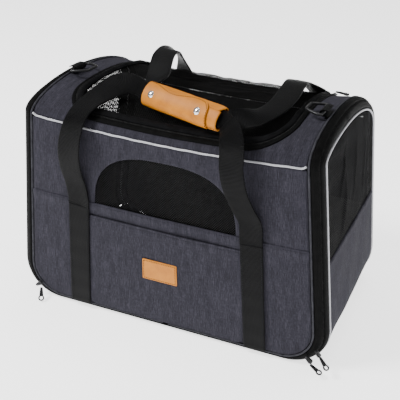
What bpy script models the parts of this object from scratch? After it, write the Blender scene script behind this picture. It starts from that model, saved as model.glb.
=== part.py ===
"""Soft-sided pet transport carrier, in metres, +Z up, +X to the right, front at -Y.

The origin is the centre of the base's underside. The body is an arched fabric tube closed by a
zipped door at each end, with a zipped mesh door in the top and two webbing handles that a
two-part leather wrap holds together.
"""
import math

import bmesh
import bpy
from mathutils import Vector

# Driving dimensions of the body before its ends lean in and its long walls flare out.
LENGTH = 0.440
DEPTH = 0.250
HEIGHT = 0.299
END_LEAN = 0.035          # each end's inward lean at the top
WALL_FLARE = 0.006        # each long wall's outward flare at the top
CORNER_R = 0.055          # round between the base and each end
CREST_Y = -0.020          # the arched top's highest line
SHOULDER_Z = {-1: 0.031, 1: 0.059}   # fall of the quarter ellipse from the crest to each long wall
SAG = 0.013               # how far the crest sags between the ends
BAND_X = 0.015            # rounded zip band around each end, measured along the length
BAND_Y = 0.014            # and across the depth
BASE_EDGE = 0.0066        # height of the rounded edge along the base

# Thicknesses and clearances.
WALL_T = 0.0022
MESH_T = 0.0012
TAPE_T = 0.0016
WEBBING_T = 0.0018
GAP = 0.0004
CORD_R = 0.0013
PIPING_R = 0.0015
HOOP_R = 0.00125

# Front panel, window and pocket.
SEAM_Z = 0.166            # top of the lower front panel and of the sewn straps
POCKET_TOP_Z = 0.148
WINDOW_Z = (0.168, 0.243)
WINDOW_HALF = 0.103
WINDOW_POWER = 2.6
STRAP_X = 0.1255
STRAP_W = 0.030
PATCH = (-0.005, 0.089, 0.050, 0.030)   # centre x, centre z, width, height

# Top opening: half length, front and rear edges and corner radius.
TOP_HALF_X = 0.170
TOP_FRONT_Y = -0.118
TOP_REAR_Y = 0.119
TOP_CORNER_R = 0.055
TOP_TAPE_W = 0.0060
TOP_BINDING_W = 0.0070

# End doors.
HINGE_DEG = 40.0          # angle round the bottom corner where an end door folds
DOOR_SEAM_Z = 0.145

# Handle wrap: ends of its centre line, cross-section and tilt of its wide face.
WRAP_LEFT = Vector((-0.043, -0.0790, 0.2996))
WRAP_RIGHT = Vector((0.0662, -0.1144, 0.2980))
WRAP_TILT_DEG = 40.0
WRAP_HALF_W = 0.0150
WRAP_HALF_T = 0.0088
WRAP_T = 0.0020
WRAP_SPLIT_DEG = 76.0      # the two halves stop short of the split between them
GATHER_HALF_W = 0.0103     # half width of the webbing where the wrap gathers it
GATHER_RUN = 0.35          # share of the wrap's length over which it spreads out again
GATHER_REACH = 0.030       # distance from the wrap's line within which it is gathered

HALF_X = LENGTH / 2
HALF_Y = DEPTH / 2
SHOULDER_Y = {-1: HALF_Y + CREST_Y, 1: HALF_Y - CREST_Y}
WALL_TOP_Z = {side: HEIGHT - fall for side, fall in SHOULDER_Z.items()}
CENTRE = Vector((0.0, 0.0, HEIGHT / 2))


# ---------------------------------------------------------------- scene, materials, helpers
def clear_scene():
    for old in list(bpy.data.objects):
        bpy.data.objects.remove(old, do_unlink=True)


def collection(name):
    made = bpy.data.collections.new(name)
    bpy.context.scene.collection.children.link(made)
    return made


def material(name, colour, roughness, metallic=0.0):
    made = bpy.data.materials.new(name)
    made.use_nodes = True
    shader = made.node_tree.nodes["Principled BSDF"]
    shader.inputs["Base Color"].default_value = (*colour, 1.0)
    shader.inputs["Roughness"].default_value = roughness
    shader.inputs["Metallic"].default_value = metallic
    return made


def add_object(name, mesh, paint):
    made = bpy.data.objects.new(name, mesh)
    PARTS.objects.link(made)
    made.data.materials.append(paint)
    return made


def shape(x, y, z):
    """Moves a point of the straight-sided body to the leaning, flaring and sagging one."""
    lean = 1.0 - END_LEAN * z / (HEIGHT * HALF_X)
    flare = 1.0 + WALL_FLARE * z / (HEIGHT * HALF_Y)
    drop = SAG * (z / HEIGHT) ** 4 * max(0.0, 1.0 - (x / HALF_X) ** 2)
    return Vector((x * lean, y * flare, z - drop))


def grid_mesh(name, rows, outward_from):
    """An open sheet through rows of points, with its faces turned away from a point."""
    mesh = bpy.data.meshes.new(name)
    bm = bmesh.new()
    verts = [[bm.verts.new(p) for p in row] for row in rows]
    for low, high in zip(verts, verts[1:]):
        for i in range(len(low) - 1):
            bm.faces.new((low[i], low[i + 1], high[i + 1], high[i]))
    bm.normal_update()
    facing = sum(f.normal.dot(f.calc_center_median() - outward_from) * f.calc_area() for f in bm.faces)
    if facing < 0:
        bmesh.ops.reverse_faces(bm, faces=bm.faces)
    bm.to_mesh(mesh)
    bm.free()
    return mesh


def sheet(name, rows, thickness, paint, side=-1.0, outward_from=CENTRE):
    """A closed panel: an open sheet thickened inward (-1), about its middle (0) or outward (1)."""
    made = add_object(name, grid_mesh(name, rows, outward_from), paint)
    solid = made.modifiers.new("thickness", "SOLIDIFY")
    solid.thickness = thickness
    solid.offset = side
    solid.use_even_offset = True
    return made


def tube(name, points, radius, paint, cyclic=False, sides=2):
    curve = bpy.data.curves.new(name, "CURVE")
    curve.dimensions = "3D"
    curve.bevel_depth = radius
    curve.bevel_resolution = sides
    curve.use_fill_caps = not cyclic
    spline = curve.splines.new("POLY")
    spline.points.add(len(points) - 1)
    for target, p in zip(spline.points, points):
        target.co = (*p, 1.0)
    spline.use_cyclic_u = cyclic
    made = bpy.data.objects.new(name, curve)
    PARTS.objects.link(made)
    made.data.materials.append(paint)
    return made


def prism(name, outline, low, high):
    """A hidden cutter: an (x, y) or (x, z) outline as a closed prism; points come ready made."""
    mesh = bpy.data.meshes.new(name)
    bm = bmesh.new()
    bottom = [bm.verts.new(low(a, b)) for a, b in outline]
    top = [bm.verts.new(high(a, b)) for a, b in outline]
    bm.faces.new(bottom)
    bm.faces.new(top)
    for i in range(len(outline)):
        j = (i + 1) % len(outline)
        bm.faces.new((bottom[i], bottom[j], top[j], top[i]))
    bmesh.ops.recalc_face_normals(bm, faces=bm.faces)
    bm.to_mesh(mesh)
    bm.free()
    made = bpy.data.objects.new(name, mesh)
    CUTTERS.objects.link(made)
    made.hide_render = True
    made.display_type = "WIRE"
    return made


def boolean(target, cutter, operation):
    cut = target.modifiers.new(cutter.name, "BOOLEAN")
    cut.operation = operation
    cut.object = cutter


def box(name, size, centre, paint, bevel=0.0, turn=(0.0, 0.0, 0.0)):
    mesh = bpy.data.meshes.new(name)
    bm = bmesh.new()
    bmesh.ops.create_cube(bm, size=1.0)
    for v in bm.verts:
        v.co = Vector([c * s for c, s in zip(v.co, size)])
    bm.to_mesh(mesh)
    bm.free()
    made = add_object(name, mesh, paint)
    made.location = centre
    made.rotation_euler = turn
    if bevel:
        edge = made.modifiers.new("edges", "BEVEL")
        edge.width = bevel
        edge.segments = 1
    return made


def smooth(points, steps):
    """A Catmull-Rom curve through points, each a tuple of vectors that are carried together."""
    out = []
    padded = [points[0]] + points + [points[-1]]
    for i in range(1, len(padded) - 2):
        for k in range(steps):
            t = k / steps
            weights = (
                -0.5 * t + t * t - 0.5 * t ** 3,
                1.0 - 2.5 * t * t + 1.5 * t ** 3,
                0.5 * t + 2.0 * t * t - 1.5 * t ** 3,
                -0.5 * t * t + 0.5 * t ** 3,
            )
            near = padded[i - 1:i + 3]
            out.append(tuple(
                sum((w * p[j] for w, p in zip(weights, near)), Vector((0.0, 0.0, 0.0)))
                for j in range(len(points[0]))
            ))
    out.append(points[-1])
    return out


def spread(low, high, count):
    return [low + (high - low) * i / (count - 1) for i in range(count)]


# ---------------------------------------------------------------- stations round an end's edge
# A station is (sharp corner point, step to the long side, step to the end side): the rounded
# edge runs from the corner less the first step to the corner less the second.
def corner_station(end, y_sign, deg):
    """On the bottom corner of a long wall, deg below level."""
    a = math.radians(deg)
    corner = Vector((
        end * (HALF_X - CORNER_R + CORNER_R * math.cos(a)),
        y_sign * HALF_Y,
        CORNER_R - CORNER_R * math.sin(a),
    ))
    inset = BAND_X - BASE_EDGE
    along = Vector((end * (inset + BASE_EDGE * math.cos(a)), 0.0, -BASE_EDGE * math.sin(a)))
    across = Vector((0.0, y_sign * BAND_Y, 0.0))
    return corner, along, across


def side_station(end, y_sign, z):
    return Vector((end * HALF_X, y_sign * HALF_Y, z)), Vector((end * BAND_X, 0, 0)), \
        Vector((0, y_sign * BAND_Y, 0))


def shoulder_station(end, y_sign, deg):
    a = math.radians(deg)
    corner = Vector((
        end * HALF_X,
        CREST_Y + y_sign * SHOULDER_Y[y_sign] * math.cos(a),
        WALL_TOP_Z[y_sign] + SHOULDER_Z[y_sign] * math.sin(a),
    ))
    return corner, Vector((end * BAND_X, 0, 0)), \
        Vector((0, y_sign * BAND_Y * math.cos(a), BAND_Y * math.sin(a)))


def end_stations(end, start_deg):
    """Front bottom corner, up, over the arch and down to the rear bottom corner."""
    def half(y_sign):
        out = [corner_station(end, y_sign, d) for d in spread(start_deg, 0.0, 8)]
        out += [side_station(end, y_sign, z) for z in (0.110, 0.170, 0.210, WALL_TOP_Z[y_sign])]
        return out + [shoulder_station(end, y_sign, d) for d in spread(12.0, 90.0, 8)]
    return half(-1) + half(1)[::-1]


def rim_point(station, deg, inset=0.0):
    """A point on the rounded edge: 0 degrees on the long side, 90 on the end; inset is inward."""
    corner, along, across = station
    a = math.radians(deg)
    p = corner - along - across
    p = p + across * ((across.length - inset) / across.length) * math.cos(a)
    return p + along * ((along.length - inset) / along.length) * math.sin(a)


def band_rows(stations, from_deg, to_deg, count=5):
    return [[shape(*rim_point(s, d)) for d in spread(from_deg, to_deg, count)] for s in stations]


# ---------------------------------------------------------------- base
def make_base():
    inner_y = HALF_Y - BAND_Y - GAP
    stop_deg = HINGE_DEG + 2.0
    profile = []
    for end in (-1, 1):
        arc = []
        for d in spread(stop_deg, 90.0, 8):
            corner, _, _ = corner_station(end, 1, d)
            arc.append((corner.x, corner.z))
        profile += arc if end < 0 else arc[::-1]
    rows = [[shape(x, y, z) for y in (-inner_y, 0.0, inner_y)] for x, z in profile]
    sheet("base_panel", rows, WALL_T, BLACK_FABRIC)

    for name, y_sign in (("front_base_binding", -1), ("rear_base_binding", 1)):
        stations = [corner_station(-1, y_sign, d) for d in spread(stop_deg, 90.0, 8)]
        for x in spread(-0.150, 0.150, 5):
            stations.append((
                Vector((x, y_sign * HALF_Y, 0.0)), Vector((0, 0, -BASE_EDGE)), Vector((0, y_sign * BAND_Y, 0))))
        stations += [corner_station(1, y_sign, d) for d in spread(90.0, stop_deg, 8)]
        sheet(name, band_rows(stations, 0.0, 90.0), TAPE_T, BLACK_FABRIC)

    box("base_board", (0.318, 0.206, 0.0035), (0, 0, WALL_T + GAP + 0.00175), BOARD, 0.0008)
    mat_low = WALL_T + 2 * GAP + 0.0035
    box("floor_mat", (0.322, 0.208, 0.012), (0, 0, mat_low + 0.006), FLEECE, 0.004)


# ---------------------------------------------------------------- long walls
PANEL_EDGE = 2 * CORD_R + 3 * GAP       # room between the band and a panel, which the cord fills


def wall_half_x(z):
    """Half length of a long wall's panel at a height, round at its lower corners."""
    full = HALF_X - BAND_X - PANEL_EDGE
    radius = CORNER_R - BASE_EDGE - PANEL_EDGE
    if z >= CORNER_R:
        return full
    rise = (CORNER_R - z) / radius
    return full - radius + radius * math.sqrt(max(0.0, 1.0 - rise * rise))


def wall_rows(y_sign):
    radius = CORNER_R - BASE_EDGE - PANEL_EDGE
    heights = [CORNER_R - radius * math.sin(math.radians(d)) for d in spread(90.0, 0.0, 9)]
    heights += [0.110, SEAM_Z, 0.205, WALL_TOP_Z[y_sign] - PIPING_R - GAP]
    return [[shape(f * wall_half_x(z), y_sign * HALF_Y, z) for f in spread(-1, 1, 9)] for z in heights]


def window_outline(grow=0.0):
    """An arch on a straight sill: a superellipse's upper half."""
    low, high = WINDOW_Z
    out = []
    for d in spread(0.0, 180.0, 25):
        a = math.radians(d)
        power = 2.0 / WINDOW_POWER
        x = math.copysign(abs(math.cos(a)) ** power, math.cos(a))
        out.append((x * (WINDOW_HALF + grow), low - grow + abs(math.sin(a)) ** power * (high - low + 2 * grow)))
    return out


def make_walls():
    front = sheet("front_panel", wall_rows(-1), WALL_T, HEATHER)
    hole = prism("window_cutter", window_outline(),
                 lambda x, z: shape(x, -HALF_Y - 0.02, z), lambda x, z: shape(x, -HALF_Y + 0.02, z))
    boolean(front, hole, "DIFFERENCE")
    behind = HALF_Y - WALL_T - GAP
    low, high = WINDOW_Z
    rows = [[shape(x, -behind, z) for x in spread(-WINDOW_HALF - 0.006, WINDOW_HALF + 0.006, 9)]
            for z in spread(low - 0.006, high + 0.006, 5)]
    sheet("front_window_mesh", rows, MESH_T, MESH)
    sheet("back_panel", wall_rows(1), WALL_T, HEATHER)

    pocket_half = STRAP_X - STRAP_W / 2 - GAP
    rows = [[shape(x, -HALF_Y - GAP, z) for x in spread(-pocket_half, pocket_half, 9)]
            for z in spread(0.0115, POCKET_TOP_Z, 4)]
    sheet("front_pocket", rows, MESH_T, HEATHER, side=1.0)
    x, z, width, height = PATCH
    face = HALF_Y + GAP + MESH_T + GAP
    rows = [[shape(x + dx * width / 2, -face, z + dz * height / 2) for dx in (-1, 0, 1)] for dz in (-1, 1)]
    sheet("leather_patch", rows, MESH_T, LEATHER, side=1.0)

    for name, y_sign, x_sign in STRAPS:
        rows = [[shape(x_sign * STRAP_X + dx * STRAP_W / 2, y_sign * (HALF_Y + GAP), z) for dx in (-1, 1)]
                for z in spread(0.0115, SEAM_Z, 6)]
        sheet(name, rows, WEBBING_T, WEBBING, side=1.0)


STRAPS = (
    ("front_left_strap", -1, -1),
    ("front_right_strap", -1, 1),
    ("rear_left_strap", 1, -1),
    ("rear_right_strap", 1, 1),
)


# ---------------------------------------------------------------- top
def top_rows(lift=0.0):
    """The arched top between the two piping lines, lifted along its normal."""
    def half(y_sign):
        start_deg = math.degrees(math.asin((PIPING_R + 2 * GAP) / SHOULDER_Z[y_sign]))
        return [(CREST_Y + y_sign * (SHOULDER_Y[y_sign] + lift) * math.cos(math.radians(d)),
                 WALL_TOP_Z[y_sign] + (SHOULDER_Z[y_sign] + lift) * math.sin(math.radians(d)))
                for d in spread(start_deg, 90.0, 13)]
    half_x = HALF_X - BAND_X - PANEL_EDGE
    return [[shape(f * half_x, y, z) for f in spread(-1, 1, 9)] for y, z in half(-1) + half(1)[-2::-1]]


def top_outline(inset):
    radius = TOP_CORNER_R - inset
    out = []
    for x_sign, y_edge, start in ((1, TOP_REAR_Y, 0), (-1, TOP_REAR_Y, 90), (-1, TOP_FRONT_Y, 180),
                                  (1, TOP_FRONT_Y, 270)):
        cx = x_sign * (TOP_HALF_X - TOP_CORNER_R)
        cy = y_edge - math.copysign(TOP_CORNER_R, y_edge)
        for d in spread(start, start + 90, 8):
            a = math.radians(d)
            out.append((cx + radius * math.cos(a), cy + radius * math.sin(a)))
    return out


def top_cutter(name, inset):
    return prism(name, top_outline(inset), lambda x, y: shape(x, y, 0.22), lambda x, y: shape(x, y, 0.34))


def make_top():
    border = sheet("top_border", top_rows(), WALL_T, HEATHER)
    boolean(border, top_cutter("opening_cutter", 0.0), "DIFFERENCE")

    tape = sheet("top_zip_tape", top_rows(0.0008), TAPE_T + 0.0012, ZIP_BLACK)
    boolean(tape, top_cutter("tape_outer_cutter", GAP), "INTERSECT")
    boolean(tape, top_cutter("tape_inner_cutter", TOP_TAPE_W), "DIFFERENCE")

    binding = sheet("top_door_binding", top_rows(0.0014), TAPE_T + 0.0018, ZIP_BLACK)
    boolean(binding, top_cutter("binding_outer_cutter", TOP_TAPE_W + GAP), "INTERSECT")
    boolean(binding, top_cutter("binding_inner_cutter", TOP_TAPE_W + TOP_BINDING_W), "DIFFERENCE")

    door = sheet("top_door_mesh", top_rows(-0.0004), MESH_T, MESH)
    boolean(door, top_cutter("door_cutter", TOP_TAPE_W + TOP_BINDING_W + GAP), "INTERSECT")

    for name, y_sign in (("front_top_piping", -1), ("rear_top_piping", 1)):
        half_x = HALF_X - BAND_X - PANEL_EDGE
        points = [shape(x, y_sign * HALF_Y, WALL_TOP_Z[y_sign]) for x in spread(-half_x, half_x, 9)]
        tube(name, points, PIPING_R, SILVER)


# ---------------------------------------------------------------- ends
def make_end(side, end):
    """One end: what stays on the body, then the door that folds down."""
    full = end_stations(end, HINGE_DEG)
    sheet(side + "_zip_tape", band_rows(full, 0.0, 43.0), TAPE_T, ZIP_BLACK)
    hoop = [shape(*rim_point(s, 30.0, 0.0042)) for s in full]
    tube(side + "_frame_hoop", hoop, HOOP_R, STEEL, sides=1)

    cord = []
    for y_sign in (-1, 1):
        run = [Vector((x, y_sign * HALF_Y, BASE_EDGE)) for x in (end * 0.002, end * 0.080, end * 0.145)]
        run += [rim_point(corner_station(end, y_sign, d), 0.0) for d in spread(90.0, 0.0, 9)]
        cord += run if y_sign < 0 else run[::-1]
        if y_sign < 0:
            cord += [rim_point(s, 0.0) for s in end_stations(end, 0.0)[8:-8]]
    inward = CORD_R + GAP
    points = []
    for p in cord:
        centre_x = end * (HALF_X - CORNER_R - 0.010)
        if p.z >= CORNER_R:
            p = Vector((p.x - end * inward, p.y, p.z))
        elif abs(p.x) <= abs(centre_x):
            p = Vector((p.x, p.y, p.z + inward))
        else:
            radial = Vector((p.x - centre_x, 0.0, p.z - CORNER_R)).normalized()
            p = p - radial * inward
        points.append(shape(*p))
    tube(side + "_edge_cord", points, CORD_R, CORD, sides=1)

    stations = end_stations(end, HINGE_DEG - 1.5)
    sheet(side + "_door_zip_tape", band_rows(stations, 47.0, 90.0), TAPE_T, ZIP_BLACK)
    step = PIPING_R + 2.5 * GAP
    piping = [shape(*(rim_point(s, 90.0) - s[2].normalized() * step)) for s in stations]
    tube(side + "_door_piping", piping, PIPING_R, SILVER, sides=1)

    edge = BAND_Y + 2 * step
    half_y = HALF_Y - edge
    lower = []
    for d in spread(HINGE_DEG - 1.5, 0.0, 7):
        corner, _, _ = corner_station(end, 1, d)
        lower.append((corner.x, half_y, corner.z))
    lower += [(end * HALF_X, half_y, z) for z in (0.100, DOOR_SEAM_Z - GAP)]
    grid = [[shape(x, f * w, z) for f in spread(-1, 1, 7)] for x, w, z in lower]
    sheet(side + "_door_panel", grid, WALL_T, HEATHER)
    grid = [[shape(end * HALF_X, y, DOOR_SEAM_Z + GAP + f * (door_top_z(y, edge) - DOOR_SEAM_Z - GAP))
             for y in spread(-half_y, half_y, 17)] for f in spread(0, 1, 5)]
    sheet(side + "_door_mesh", grid, MESH_T, MESH)


def door_top_z(y, edge):
    """Height of an end door's mesh at y, inside the arch by the given edge."""
    y_sign = 1 if y > CREST_Y else -1
    reach = min(1.0, abs(y - CREST_Y) / (SHOULDER_Y[y_sign] - edge))
    return WALL_TOP_Z[y_sign] + (SHOULDER_Z[y_sign] - edge) * math.sqrt(1.0 - reach * reach)


# ---------------------------------------------------------------- handles
def wrap_frame():
    """Centre, length direction, wide direction and face normal of the leather wrap."""
    along = (WRAP_RIGHT - WRAP_LEFT).normalized()
    level = Vector((along.y, -along.x, 0.0)).normalized()
    tilt = math.radians(WRAP_TILT_DEG)
    normal = level * math.cos(tilt) + Vector((0, 0, 1)) * math.sin(tilt)
    normal = (normal - along * normal.dot(along)).normalized()
    wide = normal.cross(along).normalized()
    if wide.z < 0:
        wide = -wide
    return (WRAP_LEFT + WRAP_RIGHT) / 2, along, wide, normal


def route(stops):
    return [(Vector(p), Vector(w).normalized()) for p, w in stops]


def webbing(name, stops, steps):
    """Webbing along a route, narrower where the wrap gathers it."""
    length = (WRAP_RIGHT - WRAP_LEFT).length
    along = (WRAP_RIGHT - WRAP_LEFT) / length
    full = STRAP_W / 2 - GAP
    rows = []
    for centre, wide in smooth(stops, steps):
        t = (centre - WRAP_LEFT).dot(along) / length
        off_axis = (centre - WRAP_LEFT - along * (t * length)).length
        near_end = max(0.0, 1.0 - max(0.0, -t, t - 1.0) / GATHER_RUN)
        gathered = near_end * max(0.0, 1.0 - off_axis / GATHER_REACH)
        half = wide.normalized() * (full + (GATHER_HALF_W - full) * min(1.0, 1.5 * gathered))
        rows.append([centre - half, centre + half])
    return sheet(name, rows, WEBBING_T, WEBBING, side=0.0)


def half_wrap(name, sign, from_t, to_t, paint):
    """Half of the wrap: the front shell for sign 1, the rear one for -1."""
    centre, along, wide, normal = wrap_frame()
    length = (WRAP_RIGHT - WRAP_LEFT).length
    rows = []
    for t in (from_t, from_t + 0.03, from_t + 0.08, 0.5, to_t - 0.08, to_t - 0.03, to_t):
        near_end = min(t - from_t, to_t - t) / 0.08
        half_w = WRAP_HALF_W * (0.93 + 0.07 * math.sqrt(min(1.0, max(0.0, near_end))))
        row = []
        for d in spread(-WRAP_SPLIT_DEG, WRAP_SPLIT_DEG, 11):
            a = math.radians(d)
            row.append(centre + along * ((t - 0.5) * length) + wide * (half_w * math.sin(a))
                       + normal * (sign * WRAP_HALF_T * math.cos(a)))
        rows.append(row)
    return sheet(name, rows, WRAP_T, paint, outward_from=centre)


def make_handles():
    centre, along, wide, normal = wrap_frame()
    side_x = 0.1155
    inside = {}
    for sign in (1, -1):
        shift = normal * (0.0016 * sign)
        inside[sign] = [(WRAP_LEFT + shift, wide * sign), ((WRAP_LEFT + WRAP_RIGHT) / 2 + shift, wide * sign),
                        (WRAP_RIGHT + shift, wide * sign)]

    left = route((
        ((-side_x, -0.1316, 0.1700), (-1, 0, 0)),
        ((-0.1158, -0.1345, 0.1880), (-1, 0, 0)),
        ((-0.1172, -0.1400, 0.2080), (-1, 0, 0)),
        ((-0.1160, -0.1448, 0.2320), (-1, 0, 0)),
        ((-0.1125, -0.1445, 0.2540), (-1, 0.05, 0)),
        ((-0.1102, -0.1375, 0.2700), (-1, 0.12, 0)),
        ((-0.1080, -0.1250, 0.2810), (-1, 0.25, 0.05)),
        ((-0.1015, -0.1085, 0.2900), (-0.90, 0.40, 0.20)),
        ((-0.0915, -0.0900, 0.2980), (-0.50, 0.60, 0.55)),
        ((-0.0780, -0.0745, 0.3040), (-0.10, 0.63, 0.75)),
        ((-0.0610, -0.0725, 0.3030), (0.12, 0.62, 0.77)),
    ))
    right = route((
        ((0.0770, -0.1250, 0.2975), (0.45, 0.52, 0.73)),
        ((0.0845, -0.1345, 0.2945), (0.85, 0.15, 0.45)),
        ((0.0895, -0.1425, 0.2875), (1, 0, 0.12)),
        ((0.0925, -0.1480, 0.2765), (1, 0, 0)),
        ((0.0935, -0.1500, 0.2560), (1, 0, 0)),
        ((0.0975, -0.1475, 0.2320), (1, 0, 0)),
        ((0.1050, -0.1405, 0.2080), (1, 0, 0)),
        ((0.1130, -0.1345, 0.1880), (1, 0, 0)),
        ((side_x, -0.1316, 0.1700), (1, 0, 0)),
    ))
    webbing("front_handle_webbing", left + inside[1] + right, 4)

    left = route((
        ((-side_x, 0.1316, 0.1700), (-1, 0, 0)),
        ((-0.1140, 0.1355, 0.1950), (-1, 0, 0)),
        ((-0.1090, 0.1385, 0.2200), (-1, 0, 0)),
        ((-0.1020, 0.1380, 0.2420), (-1, 0.15, 0)),
        ((-0.0940, 0.1280, 0.2610), (-0.95, 0.3, 0.1)),
        ((-0.0860, 0.1110, 0.2770), (-0.85, 0.45, 0.25)),
        ((-0.0800, 0.0880, 0.2930), (-0.80, 0.50, 0.30)),
        ((-0.0770, 0.0640, 0.3080), (-0.85, 0.40, 0.25)),
        ((-0.0735, 0.0380, 0.3185), (-0.95, 0.15, 0.05)),
        ((-0.0680, 0.0100, 0.3190), (-1, -0.10, 0)),
        ((-0.0590, -0.0170, 0.3140), (-1, -0.15, -0.05)),
        ((-0.0510, -0.0400, 0.3090), (-0.95, -0.30, -0.15)),
        ((-0.0465, -0.0600, 0.3040), (-0.60, -0.55, -0.55)),
    ))
    right = route((
        ((0.0790, -0.1080, 0.2990), (0.20, -0.55, -0.70)),
        ((0.0930, -0.0980, 0.2995), (0.65, -0.40, -0.40)),
        ((0.1040, -0.0820, 0.3005), (0.97, -0.15, -0.10)),
        ((0.1110, -0.0600, 0.3030), (1, 0, 0)),
        ((0.1130, -0.0320, 0.3070), (1, 0, 0)),
        ((0.1110, 0.0000, 0.3105), (1, 0, 0)),
        ((0.1080, 0.0280, 0.3080), (1, 0, 0)),
        ((0.1075, 0.0550, 0.2980), (1, 0, 0)),
        ((0.1090, 0.0830, 0.2860), (1, 0, 0)),
        ((0.1115, 0.1070, 0.2740), (1, 0, 0)),
        ((0.1125, 0.1270, 0.2580), (1, 0, 0)),
        ((0.1125, 0.1375, 0.2360), (1, 0, 0)),
        ((0.1140, 0.1380, 0.2100), (1, 0, 0)),
        ((0.1150, 0.1345, 0.1880), (1, 0, 0)),
        ((side_x, 0.1316, 0.1700), (1, 0, 0)),
    ))
    webbing("rear_handle_webbing", left + inside[-1] + right, 4)

    half_wrap("handle_wrap_flap", 1, 0.0, 0.86, LEATHER)
    half_wrap("handle_wrap_back", -1, 0.0, 1.0, LEATHER)
    length = (WRAP_RIGHT - WRAP_LEFT).length
    down = 0.0025
    for name, t in (("left_snap_cap", 0.11), ("right_snap_cap", 0.74)):
        mesh = bpy.data.meshes.new(name)
        bm = bmesh.new()
        bmesh.ops.create_cone(bm, cap_ends=True, segments=20, radius1=0.0046, radius2=0.0036, depth=0.0022)
        bm.to_mesh(mesh)
        bm.free()
        cap = add_object(name, mesh, CHROME)
        rise = WRAP_HALF_T * math.sqrt(1 - (down / WRAP_HALF_W) ** 2) + 0.0012 + GAP
        cap.location = centre + along * ((t - 0.5) * length) - wide * down + normal * rise
        cap.rotation_euler = normal.to_track_quat("Z", "Y").to_euler()


# ---------------------------------------------------------------- rings, sliders and pulls
RING_X = 0.1635
RING_Y = -0.040
RING_Z = 0.3018
RING_WIRE = 0.0017


def make_d_rings():
    for side, end in (("left", -1), ("right", 1)):
        turn = [(0.0052, -0.0037), (0.0026, -0.0037)]
        turn += [(0.0037 * math.sin(math.radians(a)), -0.0037 * math.cos(math.radians(a)))
                 for a in spread(0.0, -180.0, 7)]
        turn += [(0.0026, 0.0037), (0.0052, 0.0028)]
        rows = [[Vector((end * (RING_X + dx), RING_Y + dy, RING_Z + dz)) for dy in (-0.0115, 0.0115)]
                for dx, dz in turn]
        loop_centre = Vector((end * RING_X, RING_Y, RING_Z))
        sheet(side + "_d_ring_tab", rows, MESH_T, WEBBING, side=1.0, outward_from=loop_centre)
        ring = [(0.0, -0.0155), (-0.0025, -0.0180), (-0.0080, -0.0172), (-0.0180, -0.0120),
                (-0.0205, -0.0095), (-0.0205, 0.0095), (-0.0180, 0.0120), (-0.0080, 0.0172),
                (-0.0025, 0.0180), (0.0, 0.0155)]
        wire = tube(side + "_d_ring", [Vector((end * dx, dy, 0.08 * -dx)) for dx, dy in ring],
                    RING_WIRE, BLACK_METAL, cyclic=True)
        wire.location = loop_centre


def make_pull(name, hinge, turn):
    """A slider's pull: a flat tab with an eye near its tip, hung from its own hinge point."""
    outline = [(0.0, -0.0016), (0.005, -0.0021), (0.010, -0.0026)]
    outline += [(0.0143 + 0.0040 * math.sin(math.radians(a)), -0.0040 * math.cos(math.radians(a)))
                for a in spread(-30.0, 210.0, 11)]
    outline += [(0.010, 0.0026), (0.005, 0.0021), (0.0, 0.0016)]
    curve = bpy.data.curves.new(name, "CURVE")
    curve.dimensions = "2D"
    curve.fill_mode = "BOTH"
    curve.extrude = 0.0009
    eye = [(0.0143 + 0.0021 * math.cos(math.radians(a)), 0.0021 * math.sin(math.radians(a)))
           for a in spread(0.0, 324.0, 10)]
    for points in (outline, eye):
        spline = curve.splines.new("POLY")
        spline.points.add(len(points) - 1)
        for target, (x, y) in zip(spline.points, points):
            target.co = (x, y, 0.0, 1.0)
        spline.use_cyclic_u = True
    made = bpy.data.objects.new(name, curve)
    PARTS.objects.link(made)
    made.data.materials.append(BLACK_METAL)
    made.location = hinge
    made.rotation_euler = turn
    return made


def make_sliders():
    for name, centre, turn in SLIDERS:
        box(name, (0.0090, 0.0060, 0.0034), centre, BLACK_METAL, 0.0009, turn)
    for name, hinge, turn in PULLS:
        make_pull(name, hinge, turn)


def turn_deg(x, y, z):
    return tuple(math.radians(a) for a in (x, y, z))


# Sliders stand on the zip band; each pull hangs from the free end of its slider.
SLIDERS = (
    ("left_zip_slider", (-0.1905, -0.1282, 0.0185), turn_deg(90, -35, 0)),
    ("right_zip_slider", (0.2058, -0.1262, 0.0262), turn_deg(90, 62, 45)),
    ("right_zip_slider_low", (0.1958, -0.1282, 0.0150), turn_deg(90, 40, 0)),
    ("top_zip_slider", (0.1340, 0.1145, 0.2672), turn_deg(34, 18, 155)),
)
PULLS = (
    ("left_zip_pull", (-0.1850, -0.1315, 0.0150), turn_deg(0, 46, -62)),
    ("right_zip_pull", (0.2092, -0.1268, 0.0218), turn_deg(0, 27, -36)),
    ("right_zip_pull_low", (0.1995, -0.1318, 0.0112), turn_deg(0, 12, -25)),
    ("top_zip_pull", (0.1370, 0.1115, 0.2735), turn_deg(0, 4, 0)),
)


clear_scene()
PARTS = collection("pet_carrier")
CUTTERS = collection("cutters")
HEATHER = material("heather_fabric", (0.070, 0.068, 0.092), 0.92)
BLACK_FABRIC = material("black_fabric", (0.014, 0.014, 0.017), 0.85)
ZIP_BLACK = material("zip_tape", (0.010, 0.010, 0.010), 0.70)
WEBBING = material("webbing", (0.016, 0.016, 0.018), 0.65)
MESH = material("mesh_fabric", (0.020, 0.020, 0.020), 0.80)
SILVER = material("reflective_piping", (0.62, 0.62, 0.64), 0.35)
CORD = material("edge_cord", (0.060, 0.060, 0.070), 0.70)
LEATHER = material("tan_leather", (0.62, 0.27, 0.07), 0.50)
FLEECE = material("fleece", (0.30, 0.30, 0.32), 0.95)
BOARD = material("board", (0.05, 0.05, 0.05), 0.80)
CHROME = material("chrome", (0.80, 0.80, 0.80), 0.15, 1.0)
STEEL = material("spring_steel", (0.45, 0.45, 0.46), 0.35, 1.0)
BLACK_METAL = material("black_metal", (0.030, 0.030, 0.032), 0.35, 0.6)

make_base()
make_walls()
make_top()
make_end("left", -1)
make_end("right", 1)
make_handles()
make_d_rings()
make_sliders()
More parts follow.
